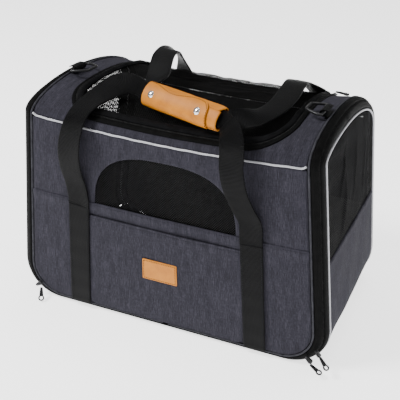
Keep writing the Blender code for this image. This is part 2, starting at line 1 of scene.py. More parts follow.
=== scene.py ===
"""Looks of the soft-sided pet transport carrier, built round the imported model.

Every piece is in metres in the model's own frame. The body's driving dimensions are repeated
from the part, so panels, bands, straps and cords lie where their solids are.
"""
import math

import bmesh
import bpy
import numpy as np
from mathutils import Matrix, Vector


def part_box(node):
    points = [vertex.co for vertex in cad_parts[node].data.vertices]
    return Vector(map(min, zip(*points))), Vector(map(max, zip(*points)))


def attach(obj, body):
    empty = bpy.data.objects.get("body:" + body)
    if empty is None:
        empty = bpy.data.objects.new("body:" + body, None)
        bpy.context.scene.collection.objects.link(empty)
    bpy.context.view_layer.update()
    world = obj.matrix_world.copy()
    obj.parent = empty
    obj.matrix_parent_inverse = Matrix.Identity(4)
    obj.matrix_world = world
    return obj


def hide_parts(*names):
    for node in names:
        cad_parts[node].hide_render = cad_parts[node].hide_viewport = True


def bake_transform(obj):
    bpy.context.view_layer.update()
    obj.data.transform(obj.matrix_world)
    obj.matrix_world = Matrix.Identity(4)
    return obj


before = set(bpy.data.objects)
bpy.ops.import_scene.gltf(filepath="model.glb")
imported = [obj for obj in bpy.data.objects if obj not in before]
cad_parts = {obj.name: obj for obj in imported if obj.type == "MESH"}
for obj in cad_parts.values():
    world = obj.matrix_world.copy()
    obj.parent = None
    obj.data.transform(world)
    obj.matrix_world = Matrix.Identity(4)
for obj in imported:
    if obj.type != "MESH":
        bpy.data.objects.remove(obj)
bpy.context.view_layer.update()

# ---------------------------------------------------------------- driving dimensions
LENGTH, DEPTH, HEIGHT = 0.440, 0.250, 0.299
END_LEAN, WALL_FLARE = 0.035, 0.006
CORNER_R, CREST_Y, SAG = 0.055, -0.020, 0.013
SHOULDER_Z = {-1: 0.031, 1: 0.059}
BAND_X, BAND_Y, BASE_EDGE = 0.015, 0.014, 0.0066
SEAM_Z, POCKET_TOP_Z = 0.166, 0.148
WINDOW_LOW, WINDOW_HIGH, WINDOW_HALF, WINDOW_POWER = 0.168, 0.243, 0.103, 2.6
STRAP_X, STRAP_W, WEBBING_T = 0.1255, 0.030, 0.0018
PATCH_X, PATCH_Z, PATCH_W, PATCH_H = -0.005, 0.089, 0.050, 0.030
TOP_HALF_X, TOP_FRONT_Y, TOP_REAR_Y, TOP_CORNER_R = 0.170, -0.118, 0.119, 0.055
TOP_TAPE_W, TOP_BINDING_W = 0.0060, 0.0070
HINGE_DEG, DOOR_SEAM_Z = 40.0, 0.145
CORD_R, PIPING_R = 0.0013, 0.0015
WRAP_LEFT, WRAP_RIGHT = Vector((-0.043, -0.0790, 0.2996)), Vector((0.0662, -0.1144, 0.2980))
WRAP_TILT_DEG, WRAP_HALF_W, WRAP_HALF_T = 40.0, 0.0150, 0.0088
GATHER_HALF_W, GATHER_RUN, GATHER_REACH = 0.0103, 0.35, 0.030
HALF_X, HALF_Y = LENGTH / 2, DEPTH / 2
SHOULDER_Y = {-1: HALF_Y + CREST_Y, 1: HALF_Y - CREST_Y}
WALL_TOP_Z = {side: HEIGHT - fall for side, fall in SHOULDER_Z.items()}
PANEL_EDGE = 2 * CORD_R + 0.0012
CANVAS_T = 0.0016            # heather cloth with its lining
GROOVE_DROP, GROOVE_W = 0.0034, 0.0008   # stitched groove below a seam
SELVEDGE_IN = 0.0026         # groove and stitches inside webbing's edge
PANEL_HALF_X = HALF_X - BAND_X - PANEL_EDGE
MIDDLE = np.array((0.0, 0.0, HEIGHT / 2))


# ---------------------------------------------------------------- camera, light and floor
def make_stage():
    camera = bpy.data.objects.new("camera", bpy.data.cameras.new("camera"))
    bpy.context.scene.collection.objects.link(camera)
    bpy.context.scene.camera = camera
    right, up = Vector((0.93271, 0.35737, 0.04834)), Vector((-0.21286, 0.43736, 0.87373))
    back = Vector((0.29111, -0.82523, 0.48400))
    turn = Matrix((right, up, back)).transposed().to_4x4()
    camera.matrix_world = Matrix.Translation((0.36624, -0.84323, 0.60034)) @ turn
    camera.data.lens = 68.07
    camera.data.sensor_width = 36.0
    camera.data.shift_x, camera.data.shift_y = -0.132, 0.067
    camera.data.clip_start, camera.data.clip_end = 0.01, 50.0

    world = bpy.data.worlds.new("studio")
    bpy.context.scene.world = world
    world.use_nodes = True
    world.node_tree.nodes["Background"].inputs["Color"].default_value = (1.0, 1.0, 1.0, 1.0)
    world.node_tree.nodes["Background"].inputs["Strength"].default_value = 0.35

    for name, place, aim, size, power in (
        ("key_light", (-1.2, -0.9, 1.8), (0.0, 0.0, 0.15), 0.7, 60.0),
        ("right_light", (1.9, -0.3, 0.9), (0.15, 0.0, 0.12), 1.0, 12.0),
        ("top_light", (0.1, 0.5, 2.2), (0.0, 0.0, 0.2), 1.2, 16.0),
    ):
        lamp = bpy.data.lights.new(name, "AREA")
        lamp.shape, lamp.size, lamp.energy = "DISK", size, power
        light = bpy.data.objects.new(name, lamp)
        light.location = place
        light.rotation_euler = (Vector(aim) - Vector(place)).to_track_quat("-Z", "Y").to_euler()
        bpy.context.scene.collection.objects.link(light)

    mesh = bpy.data.meshes.new("floor")
    mesh.from_pydata([(x, y, -0.0006) for x, y in ((-6, -6), (6, -6), (6, 6), (-6, 6))], [], [(0, 1, 2, 3)])
    floor = bpy.data.objects.new("floor", mesh)
    bpy.context.scene.collection.objects.link(floor)
    paint = bpy.data.materials.new("floor_white")
    paint.use_nodes = True
    shader = paint.node_tree.nodes["Principled BSDF"]
    shader.inputs["Base Color"].default_value = (0.93, 0.93, 0.93, 1.0)
    shader.inputs["Roughness"].default_value = 0.8
    shader.inputs["Emission Color"].default_value = (1.0, 1.0, 1.0, 1.0)
    shader.inputs["Emission Strength"].default_value = 2.0
    mesh.materials.append(paint)


# ---------------------------------------------------------------- materials
class Nodes:
    """Short hand for building one material's node tree."""

    def __init__(self, name, roughness, **fixed):
        self.material = bpy.data.materials.new(name)
        self.material.use_nodes = True
        self.tree = self.material.node_tree
        self.shader = self.tree.nodes["Principled BSDF"]
        self.shader.inputs["Roughness"].default_value = roughness
        for key, value in fixed.items():
            self.shader.inputs[key.replace("_", " ").title().replace("Ior", "IOR")].default_value = value

    def add(self, kind, fixed, **links):
        node = self.tree.nodes.new(kind)
        for key, value in fixed.items():
            node.inputs[key].default_value = value
        for key, source in links.items():
            self.tree.links.new(source, node.inputs[key])
        return node.outputs[0]

    def coords(self, uv=True):
        node = self.tree.nodes.new("ShaderNodeTexCoord")
        return node.outputs["UV" if uv else "Object"]

    def scaled(self, source, scale):
        return self.add("ShaderNodeMapping", fixed={"Scale": scale}, Vector=source)

    def noise(self, source, scale, detail=3.0, rough=0.55):
        """Noise with so many cells to the metre, one number or one for each axis."""
        scale = scale if isinstance(scale, tuple) else (scale,) * 3
        return self.add("ShaderNodeTexNoise", fixed={"Scale": 1.0, "Detail": detail, "Roughness": rough},
                        Vector=self.scaled(source, scale))

    def math(self, kind, a, b=None):
        node = self.tree.nodes.new("ShaderNodeMath")
        node.operation = kind
        for socket, value in zip(node.inputs, (a, b)):
            if value is None:
                continue
            if isinstance(value, (int, float)):
                socket.default_value = value
            else:
                self.tree.links.new(value, socket)
        return node.outputs[0]

    def wave(self, kind, source, rate):
        return self.math(kind, self.math("MULTIPLY", source, rate))

    def total(self, *parts):
        """A sum of values; a part with a weight is a pair."""
        terms = [self.math("MULTIPLY", *p) if isinstance(p, tuple) else p for p in parts]
        for term in terms[1:]:
            terms[0] = self.math("ADD", terms[0], term)
        return terms[0]

    def part(self, source, axis):
        node = self.tree.nodes.new("ShaderNodeSeparateXYZ")
        self.tree.links.new(source, node.inputs[0])
        return node.outputs[axis]

    def ramp(self, source, stops):
        node = self.tree.nodes.new("ShaderNodeValToRGB")
        self.tree.links.new(source, node.inputs[0])
        band = node.color_ramp
        while len(band.elements) < len(stops):
            band.elements.new(0.5)
        for element, (place, colour) in zip(band.elements, stops):
            element.position = place
            element.color = (*colour, 1.0) if len(colour) == 3 else colour
        return node.outputs[0]

    def colour(self, source):
        self.tree.links.new(source, self.shader.inputs["Base Color"])

    def roughness(self, source, low, high):
        node = self.add("ShaderNodeMapRange", fixed={"To Min": low, "To Max": high}, Value=source)
        self.tree.links.new(node, self.shader.inputs["Roughness"])

    def bump(self, source, height, strength=1.0):
        node = self.add("ShaderNodeBump", fixed={"Strength": strength, "Distance": height}, Height=source)
        self.tree.links.new(node, self.shader.inputs["Normal"])


def heather_material():
    """Melange canvas: fine upright streaks of light and dark yarn."""
    m = Nodes("heather", 0.95, specular_ior_level=0.2)
    at = m.coords()
    fine = m.noise(at, (2500.0, 200.0, 200.0), detail=2.0)
    streak = m.noise(at, (1300.0, 60.0, 60.0), detail=3.0, rough=0.65)
    broad = m.noise(at, (120.0, 22.0, 22.0), detail=2.0)
    weft = m.noise(at, (90.0, 1300.0, 90.0), detail=1.0)
    m.colour(m.ramp(m.total((fine, 0.34), (streak, 0.40), (broad, 0.14), (weft, 0.12)), (
        (0.38, (0.0095, 0.0090, 0.0125)), (0.50, (0.020, 0.0190, 0.027)), (0.63, (0.048, 0.0455, 0.061)),
    )))
    m.bump(m.total(fine, (weft, 0.8)), 0.00025, 0.7)
    return m.material


def cloth_material(name, low, high, pitch, roughness, uv=True):
    """Plain woven black cloth; pitch is the yarn spacing."""
    m = Nodes(name, roughness, specular_ior_level=0.04)
    at = m.coords(uv)
    turn = 2 * math.pi / pitch
    weave = m.math("MULTIPLY", m.wave("SINE", m.part(at, 0), turn), m.wave("SINE", m.part(at, 1), turn))
    soft = m.noise(at, 90.0, detail=4.0, rough=0.6)
    m.colour(m.ramp(m.total((weave, 0.16), soft), ((0.30, low), (0.75, high))))
    m.bump(m.total(weave, soft), pitch * 0.12, 0.8)
    return m.material


def webbing_material():
    """Flat nylon webbing: ribs across the width, a fine twill and a shinier face."""
    m = Nodes("webbing", 0.40, specular_ior_level=0.06)
    at = m.coords()
    u, v = m.part(at, 0), m.part(at, 1)
    rib = m.wave("SINE", v, 2 * math.pi / 0.0016)
    twill = m.wave("SINE", m.total(u, (v, 0.6)), 2 * math.pi / 0.0011)
    uneven = m.noise(at, (60.0, 420.0, 60.0), rough=0.6)
    m.colour(m.ramp(m.total((rib, 0.10), (twill, 0.05), uneven),
                    ((0.28, (0.0010, 0.0010, 0.0011)), (0.80, (0.0040, 0.0040, 0.0044)))))
    m.roughness(uneven, 0.28, 0.44)
    m.bump(m.total(rib, (twill, 0.5)), 0.00016, 0.9)
    return m.material


def net_material(name, pitch, threshold, low, high):
    """Knitted net: a lattice of small holes that let light through, smaller for a higher threshold."""
    m = Nodes(name, 0.80, specular_ior_level=0.05)
    at = m.coords()
    u, v = m.part(at, 0), m.part(at, 1)
    turn = 2 * math.pi / pitch * 0.7071
    lattice = m.total(*(m.wave("COSINE", m.math(kind, u, v), turn) for kind in ("ADD", "SUBTRACT")))
    m.colour(m.ramp(m.noise(at, 160.0), ((0.30, low), (0.75, high))))
    hole = m.math("GREATER_THAN", lattice, threshold)
    m.tree.links.new(m.math("SUBTRACT", 1.0, hole), m.shader.inputs["Alpha"])
    m.bump(lattice, 0.00035, 0.8)
    return m.material


def leather_material():
    """Smooth tan leather with fine pores, worn lighter in broad clouds."""
    m = Nodes("tan_leather", 0.50, specular_ior_level=0.30)
    at = m.coords()
    cells = m.tree.nodes.new("ShaderNodeTexVoronoi")
    cells.inputs["Scale"].default_value = 1.0
    m.tree.links.new(m.scaled(at, (1500.0, 1500.0, 1500.0)), cells.inputs["Vector"])
    cloud = m.noise(at, 55.0, detail=5.0, rough=0.6)
    fine = m.noise(at, 700.0)
    m.colour(m.ramp(m.total((cloud, 0.75), (fine, 0.25)), (
        (0.28, (0.360, 0.112, 0.004)), (0.50, (0.470, 0.160, 0.006)), (0.74, (0.570, 0.210, 0.012)),
    )))
    m.roughness(fine, 0.40, 0.60)
    m.bump(m.total(cells.outputs["Distance"], fine), 0.00012, 0.8)
    return m.material


def silver_material():
    """Grey reflective piping with fine beads."""
    m = Nodes("reflective_piping", 0.42, metallic=0.15)
    at = m.coords()
    bead = m.noise(at, 1800.0, detail=2.0)
    m.colour(m.ramp(m.total((bead, 0.6), (m.noise(at, 90.0), 0.4)),
                    ((0.32, (0.24, 0.24, 0.26)), (0.66, (0.50, 0.50, 0.53)))))
    m.bump(bead, 0.00015, 0.5)
    return m.material


def metal_material(name, low, high, roughness, metallic=1.0):
    """Plated or painted metal with faint clouding and fine wear."""
    m = Nodes(name, roughness, metallic=metallic)
    at = m.coords(False)
    cloud = m.noise(at, 420.0, detail=4.0)
    m.colour(m.ramp(cloud, ((0.30, low), (0.72, high))))
    m.roughness(cloud, roughness * 0.75, min(1.0, roughness * 1.4))
    m.bump(m.noise(at, 2600.0), 0.00003, 0.5)
    return m.material


def fleece_material():
    """Grey fleece with a short uneven tuft."""
    m = Nodes("fleece", 0.95, sheen_weight=0.5, sheen_roughness=0.6)
    at = m.coords(False)
    tuft = m.noise(at, 700.0, detail=5.0, rough=0.7)
    m.colour(m.ramp(m.total((tuft, 0.6), (m.noise(at, 60.0), 0.4)),
                    ((0.30, (0.13, 0.13, 0.13)), (0.70, (0.30, 0.30, 0.31)))))
    m.bump(tuft, 0.0016, 1.0)
    return m.material


def board_material():
    """Dark fibreboard."""
    m = Nodes("board", 0.75)
    fibre = m.noise(m.coords(False), (60.0, 900.0, 60.0), detail=4.0)
    m.colour(m.ramp(fibre, ((0.30, (0.028, 0.028, 0.029)), (0.72, (0.070, 0.070, 0.072)))))
    m.bump(fibre, 0.0002, 0.6)
    return m.material


def lining_material():
    """Coated inner face of the walls: grey-green below the seam, black above it."""
    m = Nodes("lining", 0.80)
    at = m.coords()
    weave = m.noise(at, 700.0)
    below = m.math("LESS_THAN", m.part(at, 1), 0.112)
    m.colour(m.ramp(m.total((weave, 0.30), (below, 0.55)), (
        (0.05, (0.008, 0.008, 0.008)), (0.35, (0.018, 0.018, 0.018)),
        (0.60, (0.055, 0.056, 0.048)), (0.90, (0.095, 0.096, 0.084)),
    )))
    m.bump(weave, 0.0003, 0.7)
    return m.material


HEATHER = heather_material()
LINING = lining_material()
BLACK_CLOTH = cloth_material("black_fabric", (0.0015, 0.0015, 0.0017), (0.0060, 0.0060, 0.0068), 0.0014, 0.60)
ZIP_TAPE = cloth_material("zip_tape", (0.0012, 0.0012, 0.0013), (0.0048, 0.0048, 0.0048), 0.0011, 0.60)
COIL = cloth_material("zip_coil", (0.004, 0.004, 0.004), (0.016, 0.016, 0.016), 0.0020, 0.40)
THREAD_DARK = cloth_material("thread_dark", (0.012, 0.012, 0.016), (0.030, 0.030, 0.036), 0.0006, 0.7, uv=False)
THREAD_TAN = cloth_material("thread_tan", (0.030, 0.010, 0.003), (0.070, 0.026, 0.008), 0.0006, 0.7, uv=False)
WEBBING = webbing_material()
NET_TOP = net_material("mesh_top", 0.0023, 0.70, (0.0012, 0.0012, 0.0012), (0.0050, 0.0050, 0.0050))
NET_SIDE = net_material("mesh_side", 0.0023, 0.70, (0.0035, 0.0035, 0.0038), (0.0110, 0.0110, 0.0118))
SILVER = silver_material()
CORD = cloth_material("edge_cord", (0.020, 0.020, 0.024), (0.060, 0.060, 0.070), 0.0012, 0.62)
LEATHER = leather_material()
CHROME = metal_material("chrome", (0.62, 0.62, 0.62), (0.82, 0.82, 0.82), 0.14)
STEEL = metal_material("spring_steel", (0.30, 0.30, 0.31), (0.48, 0.48, 0.49), 0.34)
NICKEL = metal_material("nickel", (0.36, 0.36, 0.37), (0.55, 0.55, 0.56), 0.26)
BLACK_METAL = metal_material("black_metal", (0.010, 0.010, 0.011), (0.026, 0.026, 0.028), 0.34, 0.5)
FLEECE = fleece_material()
BOARD = board_material()


# ---------------------------------------------------------------- mesh helpers
def warp(points):
    """Moves points of the straight-sided body to the leaning, flaring, sagging one."""
    p = np.asarray(points, float)
    z = p[..., 2]
    drop = SAG * (np.clip(z, 0.0, None) / HEIGHT) ** 4 * np.clip(1.0 - (p[..., 0] / HALF_X) ** 2, 0.0, 1.0)
    return np.stack([p[..., 0] * (1.0 - END_LEAN * z / (HEIGHT * HALF_X)),
                     p[..., 1] * (1.0 + WALL_FLARE * z / (HEIGHT * HALF_Y)), z - drop], -1)


def ripple(u, v, seed, size, waves=7):
    """Smooth repeatable unevenness of about -1 to 1; size is its wavelength in metres."""
    draw = np.random.default_rng(seed)
    total = 0.0
    for _ in range(waves):
        angle, phase = draw.uniform(0.0, 2 * math.pi, 2)
        k = 2 * math.pi / (size * draw.uniform(0.6, 1.7))
        total = total + np.sin(k * (u * math.cos(angle) + v * math.sin(angle)) + phase)
    return total / math.sqrt(waves)


def lengths(points):
    """Running length along a polyline."""
    steps = np.linalg.norm(np.diff(points, axis=0), axis=1)
    return np.concatenate([[0.0], np.cumsum(steps)])


def sample(rows, run, at):
    """Rows of three numbers read off at running lengths along a path."""
    return np.stack([np.interp(at, run, rows[:, i]) for i in range(3)], 1)


def unit(rows):
    return rows / np.linalg.norm(rows, axis=1)[:, None]


def bell(distance, width):
    return np.exp(-(distance / width) ** 2)


def climb(value, start, span):
    """0 below start, 1 beyond start + span, straight between."""
    return np.clip((value - start) / span, 0.0, 1.0)


def mend(mesh, weld=0.0, close=False, outward=False):
    """Welds points, closes open ends and turns the faces outward, as asked."""
    bm = bmesh.new()
    bm.from_mesh(mesh)
    if weld:
        bmesh.ops.remove_doubles(bm, verts=bm.verts, dist=weld)
    if close:
        bmesh.ops.holes_fill(bm, edges=[e for e in bm.edges if e.is_boundary], sides=0)
    if outward:
        bmesh.ops.recalc_face_normals(bm, faces=bm.faces)
    bm.to_mesh(mesh)
    bm.free()


def link(name, mesh, paint, smooth=True):
    made = bpy.data.objects.new(name, mesh)
    bpy.context.scene.collection.objects.link(made)
    mesh.materials.append(paint)
    if smooth:
        mesh.shade_smooth()
    return made


def grid(name, points, u, v, paint, away=None, weld=False):
    """A surface through a grid of points with UVs in metres, facing away from a point."""
    points = np.asarray(points, float)
    rows, columns = points.shape[:2]
    u, v = np.broadcast_to(u, (rows, columns)), np.broadcast_to(v, (rows, columns))
    index = np.arange(rows * columns).reshape(rows, columns)
    quads = np.stack([index[:-1, :-1], index[:-1, 1:], index[1:, 1:], index[1:, :-1]], -1).reshape(-1, 4)
    flat = points.reshape(-1, 3)
    if away is not None:
        a, b, c, d = (flat[quads[:, i]] for i in range(4))
        facing = np.cross(c - a, d - b)
        if np.sum(facing * ((a + b + c + d) / 4 - np.asarray(away))) < 0:
            quads = quads[:, ::-1]
    mesh = bpy.data.meshes.new(name)
    mesh.from_pydata(flat.tolist(), [], quads.tolist())
    layer = mesh.uv_layers.new(name="UVMap")
    uv = np.stack([u.reshape(-1)[quads], v.reshape(-1)[quads]], -1).reshape(-1)
    layer.data.foreach_set("uv", uv.astype(np.float32))
    if weld:
        mend(mesh, weld=1e-6)
    mesh.validate()
    return link(name, mesh, paint)


def thicken(piece, thickness, inner=None):
    """Gives a sheet thickness on its inner side, in a material of its own if one is named."""
    solid = piece.modifiers.new("thickness", "SOLIDIFY")
    solid.thickness, solid.offset = thickness, -1.0
    if inner is not None:
        piece.data.materials.append(inner)
        solid.material_offset = 1
    return piece


def tube(name, path, radius, paint, closed=False, sides=10):
    """A round tube along a path, closed at its ends or into a loop."""
    path = np.asarray(path, float)
    if closed:
        path = np.vstack([path, path[:1]])
    if closed:
        tangent = np.roll(path[:-1], -1, 0) - np.roll(path[:-1], 1, 0)
        tangent = np.vstack([tangent, tangent[:1]])
    else:
        tangent = np.gradient(path, axis=0)
    tangent /= np.linalg.norm(tangent, axis=1)[:, None] + 1e-12
    normal = np.cross(tangent[0], (0.31, 0.47, 0.83))
    normal /= np.linalg.norm(normal)
    normals = []
    for t in tangent:
        normal = normal - t * normal.dot(t)
        normal /= np.linalg.norm(normal)
        normals.append(normal.copy())
    normals = np.array(normals)
    side = np.cross(tangent, normals)
    if closed:
        slip = math.atan2(normals[-1].dot(side[0]), normals[-1].dot(normals[0]))
        turn = np.linspace(0.0, slip, len(path))[:, None]
        normals, side = (normals * np.cos(turn) - side * np.sin(turn),
                         side * np.cos(turn) + normals * np.sin(turn))
    ring = np.linspace(0.0, 2 * math.pi, sides + 1)
    points = path[:, None] + radius * (normals[:, None] * np.cos(ring)[None, :, None]
                                       + side[:, None] * np.sin(ring)[None, :, None])
    made = grid(name, points, ring[None, :] * radius, lengths(path)[:, None], paint, weld=True)
    mend(made.data, close=not closed, outward=True)
    return made


def catmull(stops, steps):
    """A smooth curve through rows of numbers."""
    stops = np.asarray(stops, float)
    padded = np.vstack([stops[:1], stops, stops[-1:]])
    out = []
    for i in range(1, len(padded) - 2):
        p0, p1, p2, p3 = padded[i - 1:i + 3]
        for k in range(steps):
            t = k / steps
            out.append(0.5 * (2 * p1 + (p2 - p0) * t + (2 * p0 - 5 * p1 + 4 * p2 - p3) * t ** 2
                              + (3 * p1 - p0 - 3 * p2 + p3) * t ** 3))
    out.append(stops[-1])
    return np.array(out)


def ribbon(name, centres, wides, paint, width=STRAP_W - 0.001, thick=WEBBING_T, cup=0.0, narrow=1.0):
    """Flat webbing with rounded selvedges along a path; wides is its width direction, or one a point."""
    centres = np.asarray(centres, float)
    wides = np.broadcast_to(np.asarray(wides, float), centres.shape)
    tangent = unit(np.gradient(centres, axis=0))
    wides = unit(wides - tangent * np.sum(wides * tangent, 1)[:, None])
    faces = np.cross(wides, tangent)
    flat = np.linspace(-width / 2 + thick / 2, width / 2 - thick / 2, 9)
    bend = np.radians(np.linspace(90.0, -90.0, 5)[1:-1])
    section = [(a, thick / 2) for a in flat]
    section += [(flat[-1] + thick / 2 * math.cos(d), thick / 2 * math.sin(d)) for d in bend]
    section += [(a, -thick / 2) for a in flat[::-1]]
    section += [(flat[0] - thick / 2 * math.cos(d), -thick / 2 * math.sin(d)) for d in bend]
    section.append(section[0])
    section = np.array(section)
    # A shallow groove inside each selvedge, as woven webbing has.
    groove = 0.00018 * bell(np.abs(section[:, 0]) - (width / 2 - SELVEDGE_IN), 0.0007)
    b = section[:, 1] - np.sign(section[:, 1]) * groove - cup * (section[:, 0] / (width / 2)) ** 2
    narrow = np.broadcast_to(narrow, len(centres))[:, None, None]
    points = (centres[:, None] + wides[:, None] * section[None, :, 0, None] * narrow
              + faces[:, None] * b[None, :, None])
    made = grid(name, points, section[None, :, 0], lengths(centres)[:, None], paint, weld=True)
    mend(made.data, close=True, outward=True)
    return made


def stitches(name, path, normals, paint, pitch=0.0032, length=0.0021, radius=0.00028):
    """Separate thread stitches on a surface along a path; normals is one direction, or one a point."""
    path = np.asarray(path, float)
    normals = np.broadcast_to(np.asarray(normals, float), path.shape)
    run = lengths(path)
    mesh = bpy.data.meshes.new(name)
    verts, faces = [], []
    for k in range(int(run[-1] / pitch)):
        ends = [(k + 0.5) * pitch + s * length / 2 for s in (-1, -0.55, 0.55, 1)]
        at = sample(path, run, ends)
        up = sample(normals, run, ends[1:2])[0]
        up /= np.linalg.norm(up)
        along = at[-1] - at[0]
        along /= np.linalg.norm(along) + 1e-12
        side = np.cross(up, along)
        first = len(verts)
        for p, size, rise in zip(at, (0.35, 1.0, 1.0, 0.35), (-0.5, 0.75, 0.75, -0.5)):
            for a in range(6):
                angle = math.pi / 3 * a
                verts.append(p + radius * (size * (math.cos(angle) * side + math.sin(angle) * up) + rise * up))
        for j in range(3):
            for a in range(6):
                b = (a + 1) % 6
                base = first + 6 * j
                faces.append((base + a, base + b, base + 6 + b, base + 6 + a))
        faces.append(tuple(first + a for a in range(5, -1, -1)))
        faces.append(tuple(first + 18 + a for a in range(6)))
    mesh.from_pydata([tuple(v) for v in verts], [], faces)
    return link(name, mesh, paint)


def join(name, pieces):
    """Joins pieces into the first, keeping their materials."""
    bpy.ops.object.select_all(action="DESELECT")
    for piece in pieces:
        piece.select_set(True)
    bpy.context.view_layer.objects.active = pieces[0]
    bpy.ops.object.join()
    pieces[0].name = name
    return pieces[0]


def place(piece, body, slot, *nodes):
    """Rides a finished piece on a body and hides the solids it stands for; the slot is not used."""
    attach(piece, body)
    if nodes:
        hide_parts(*nodes)
    return piece


# ---------------------------------------------------------------- surfaces of the body
def bulge(x, z, y_sign=-1):
    """How far the long walls swell outward, falling to nothing at their edges."""
    across = np.clip(1.0 - (np.asarray(x) / PANEL_HALF_X) ** 2, 0.0, 1.0)
    up = np.sin(np.clip(np.asarray(z) / WALL_TOP_Z[y_sign], 0.0, 1.0) * math.pi) ** 0.8
    return 0.0022 * across ** 0.7 * up


def wall_point(x, z, out=0.0, y_sign=-1):
    """A point on a long wall, out metres proud of it."""
    x, z = np.broadcast_arrays(np.asarray(x, float), np.asarray(z, float))
    y = y_sign * (HALF_Y + bulge(x, z, y_sign) + out)
    return warp(np.stack([x, y, z], -1))


def wall_half_x(z):
    full, radius = PANEL_HALF_X, CORNER_R - BASE_EDGE - PANEL_EDGE
    rise = np.clip((CORNER_R - z) / radius, 0.0, 1.0)
    return full - radius + radius * np.sqrt(1.0 - rise ** 2)


PHI = np.radians(np.linspace(0.0, 90.0, 400))
ARCH_Y = np.concatenate([CREST_Y - SHOULDER_Y[-1] * np.cos(PHI), CREST_Y + SHOULDER_Y[1] * np.sin(PHI[1:])])
ARCH_Z = np.concatenate([WALL_TOP_Z[-1] + SHOULDER_Z[-1] * np.sin(PHI),
                         WALL_TOP_Z[1] + SHOULDER_Z[1] * np.cos(PHI[1:])])
ARCH_S = lengths(np.stack([ARCH_Y, ARCH_Z], 1))
ARCH_S = ARCH_S - ARCH_S[len(PHI) - 1]


def arch_run(y):
    """Length along the arch from its crest to depth y, negative toward the front."""
    return np.interp(y, ARCH_Y, ARCH_S)


def top_point(x, s, lift=0.0):
    """A point on the arched top at x and arch length s, lifted along its normal."""
    x, s = np.broadcast_arrays(np.asarray(x, float), np.asarray(s, float))
    y, z = np.interp(s, ARCH_S, ARCH_Y), np.interp(s, ARCH_S, ARCH_Z)
    near = 0.0008
    dy = np.interp(s + near, ARCH_S, ARCH_Y) - np.interp(s - near, ARCH_S, ARCH_Y)
    dz = np.interp(s + near, ARCH_S, ARCH_Z) - np.interp(s - near, ARCH_S, ARCH_Z)
    norm = np.hypot(dy, dz) + 1e-12
    return warp(np.stack([x, y - dz / norm * lift, z + dy / norm * lift], -1))


def top_outline(inset, corner_steps=12, long_steps=44, short_steps=16):
    """The top opening's rounded outline, a closed loop in x and depth."""
    radius = TOP_CORNER_R - inset
    steps = {0: long_steps, 90: short_steps, 180: long_steps, 270: short_steps}
    out = []
    corners = ((1, TOP_REAR_Y, 0), (-1, TOP_REAR_Y, 90), (-1, TOP_FRONT_Y, 180), (1, TOP_FRONT_Y, 270))
    for x_sign, y_edge, start in corners:
        cx = x_sign * (TOP_HALF_X - TOP_CORNER_R)
        cy = y_edge - math.copysign(TOP_CORNER_R, y_edge)
        arc = [(cx + radius * math.cos(math.radians(d)), cy + radius * math.sin(math.radians(d)))
               for d in np.linspace(start, start + 90, corner_steps + 1)]
        nx, ny, turned = {0: (-1, TOP_REAR_Y, 90), 90: (-1, TOP_FRONT_Y, 180),
                          180: (1, TOP_FRONT_Y, 270), 270: (1, TOP_REAR_Y, 0)}[start]
        ex = nx * (TOP_HALF_X - TOP_CORNER_R) + radius * math.cos(math.radians(turned))
        ey = ny - math.copysign(TOP_CORNER_R, ny) + radius * math.sin(math.radians(turned))
        count = steps[start]
        line = [(arc[-1][0] + (ex - arc[-1][0]) * k / count, arc[-1][1] + (ey - arc[-1][1]) * k / count)
                for k in range(1, count)]
        out += arc + line
    return np.array(out + out[:1])


# ---------------------------------------------------------------- stations round an end's edge
def corner_station(end, y_sign, deg):
    a = math.radians(deg)
    corner = (end * (HALF_X - CORNER_R + CORNER_R * math.cos(a)), y_sign * HALF_Y,
              CORNER_R - CORNER_R * math.sin(a))
    inset = BAND_X - BASE_EDGE
    along = (end * (inset + BASE_EDGE * math.cos(a)), 0.0, -BASE_EDGE * math.sin(a))
    return corner, along, (0.0, y_sign * BAND_Y, 0.0)


def side_station(end, y_sign, z):
    return (end * HALF_X, y_sign * HALF_Y, z), (end * BAND_X, 0.0, 0.0), (0.0, y_sign * BAND_Y, 0.0)


def shoulder_station(end, y_sign, deg):
    a = math.radians(deg)
    corner = (end * HALF_X, CREST_Y + y_sign * SHOULDER_Y[y_sign] * math.cos(a),
              WALL_TOP_Z[y_sign] + SHOULDER_Z[y_sign] * math.sin(a))
    return corner, (end * BAND_X, 0.0, 0.0), (0.0, y_sign * BAND_Y * math.cos(a), BAND_Y * math.sin(a))


def end_stations(end, start_deg):
    """Front bottom corner, up, over the arch and down to the rear bottom corner."""
    def half(y_sign):
        out = [corner_station(end, y_sign, d) for d in np.linspace(start_deg, 0.0, 22)]
        out += [side_station(end, y_sign, z) for z in np.linspace(CORNER_R, WALL_TOP_Z[y_sign], 36)[1:-1]]
        return out + [shoulder_station(end, y_sign, d) for d in np.linspace(0.0, 90.0, 26)]
    return np.array(half(-1) + half(1)[::-1])


def rim_points(stations, deg, rise=0.0):
    """Points on the rounded edge: 0 degrees on the long side, 90 on the end; rise is outward."""
    corner, along, across = stations[:, 0], stations[:, 1], stations[:, 2]
    a = math.radians(deg)
    long_a = np.linalg.norm(along, axis=1)[:, None]
    long_b = np.linalg.norm(across, axis=1)[:, None]
    p = corner - along - across
    p = p + across * ((long_b + rise) / long_b) * math.cos(a)
    return p + along * ((long_a + rise) / long_a) * math.sin(a)


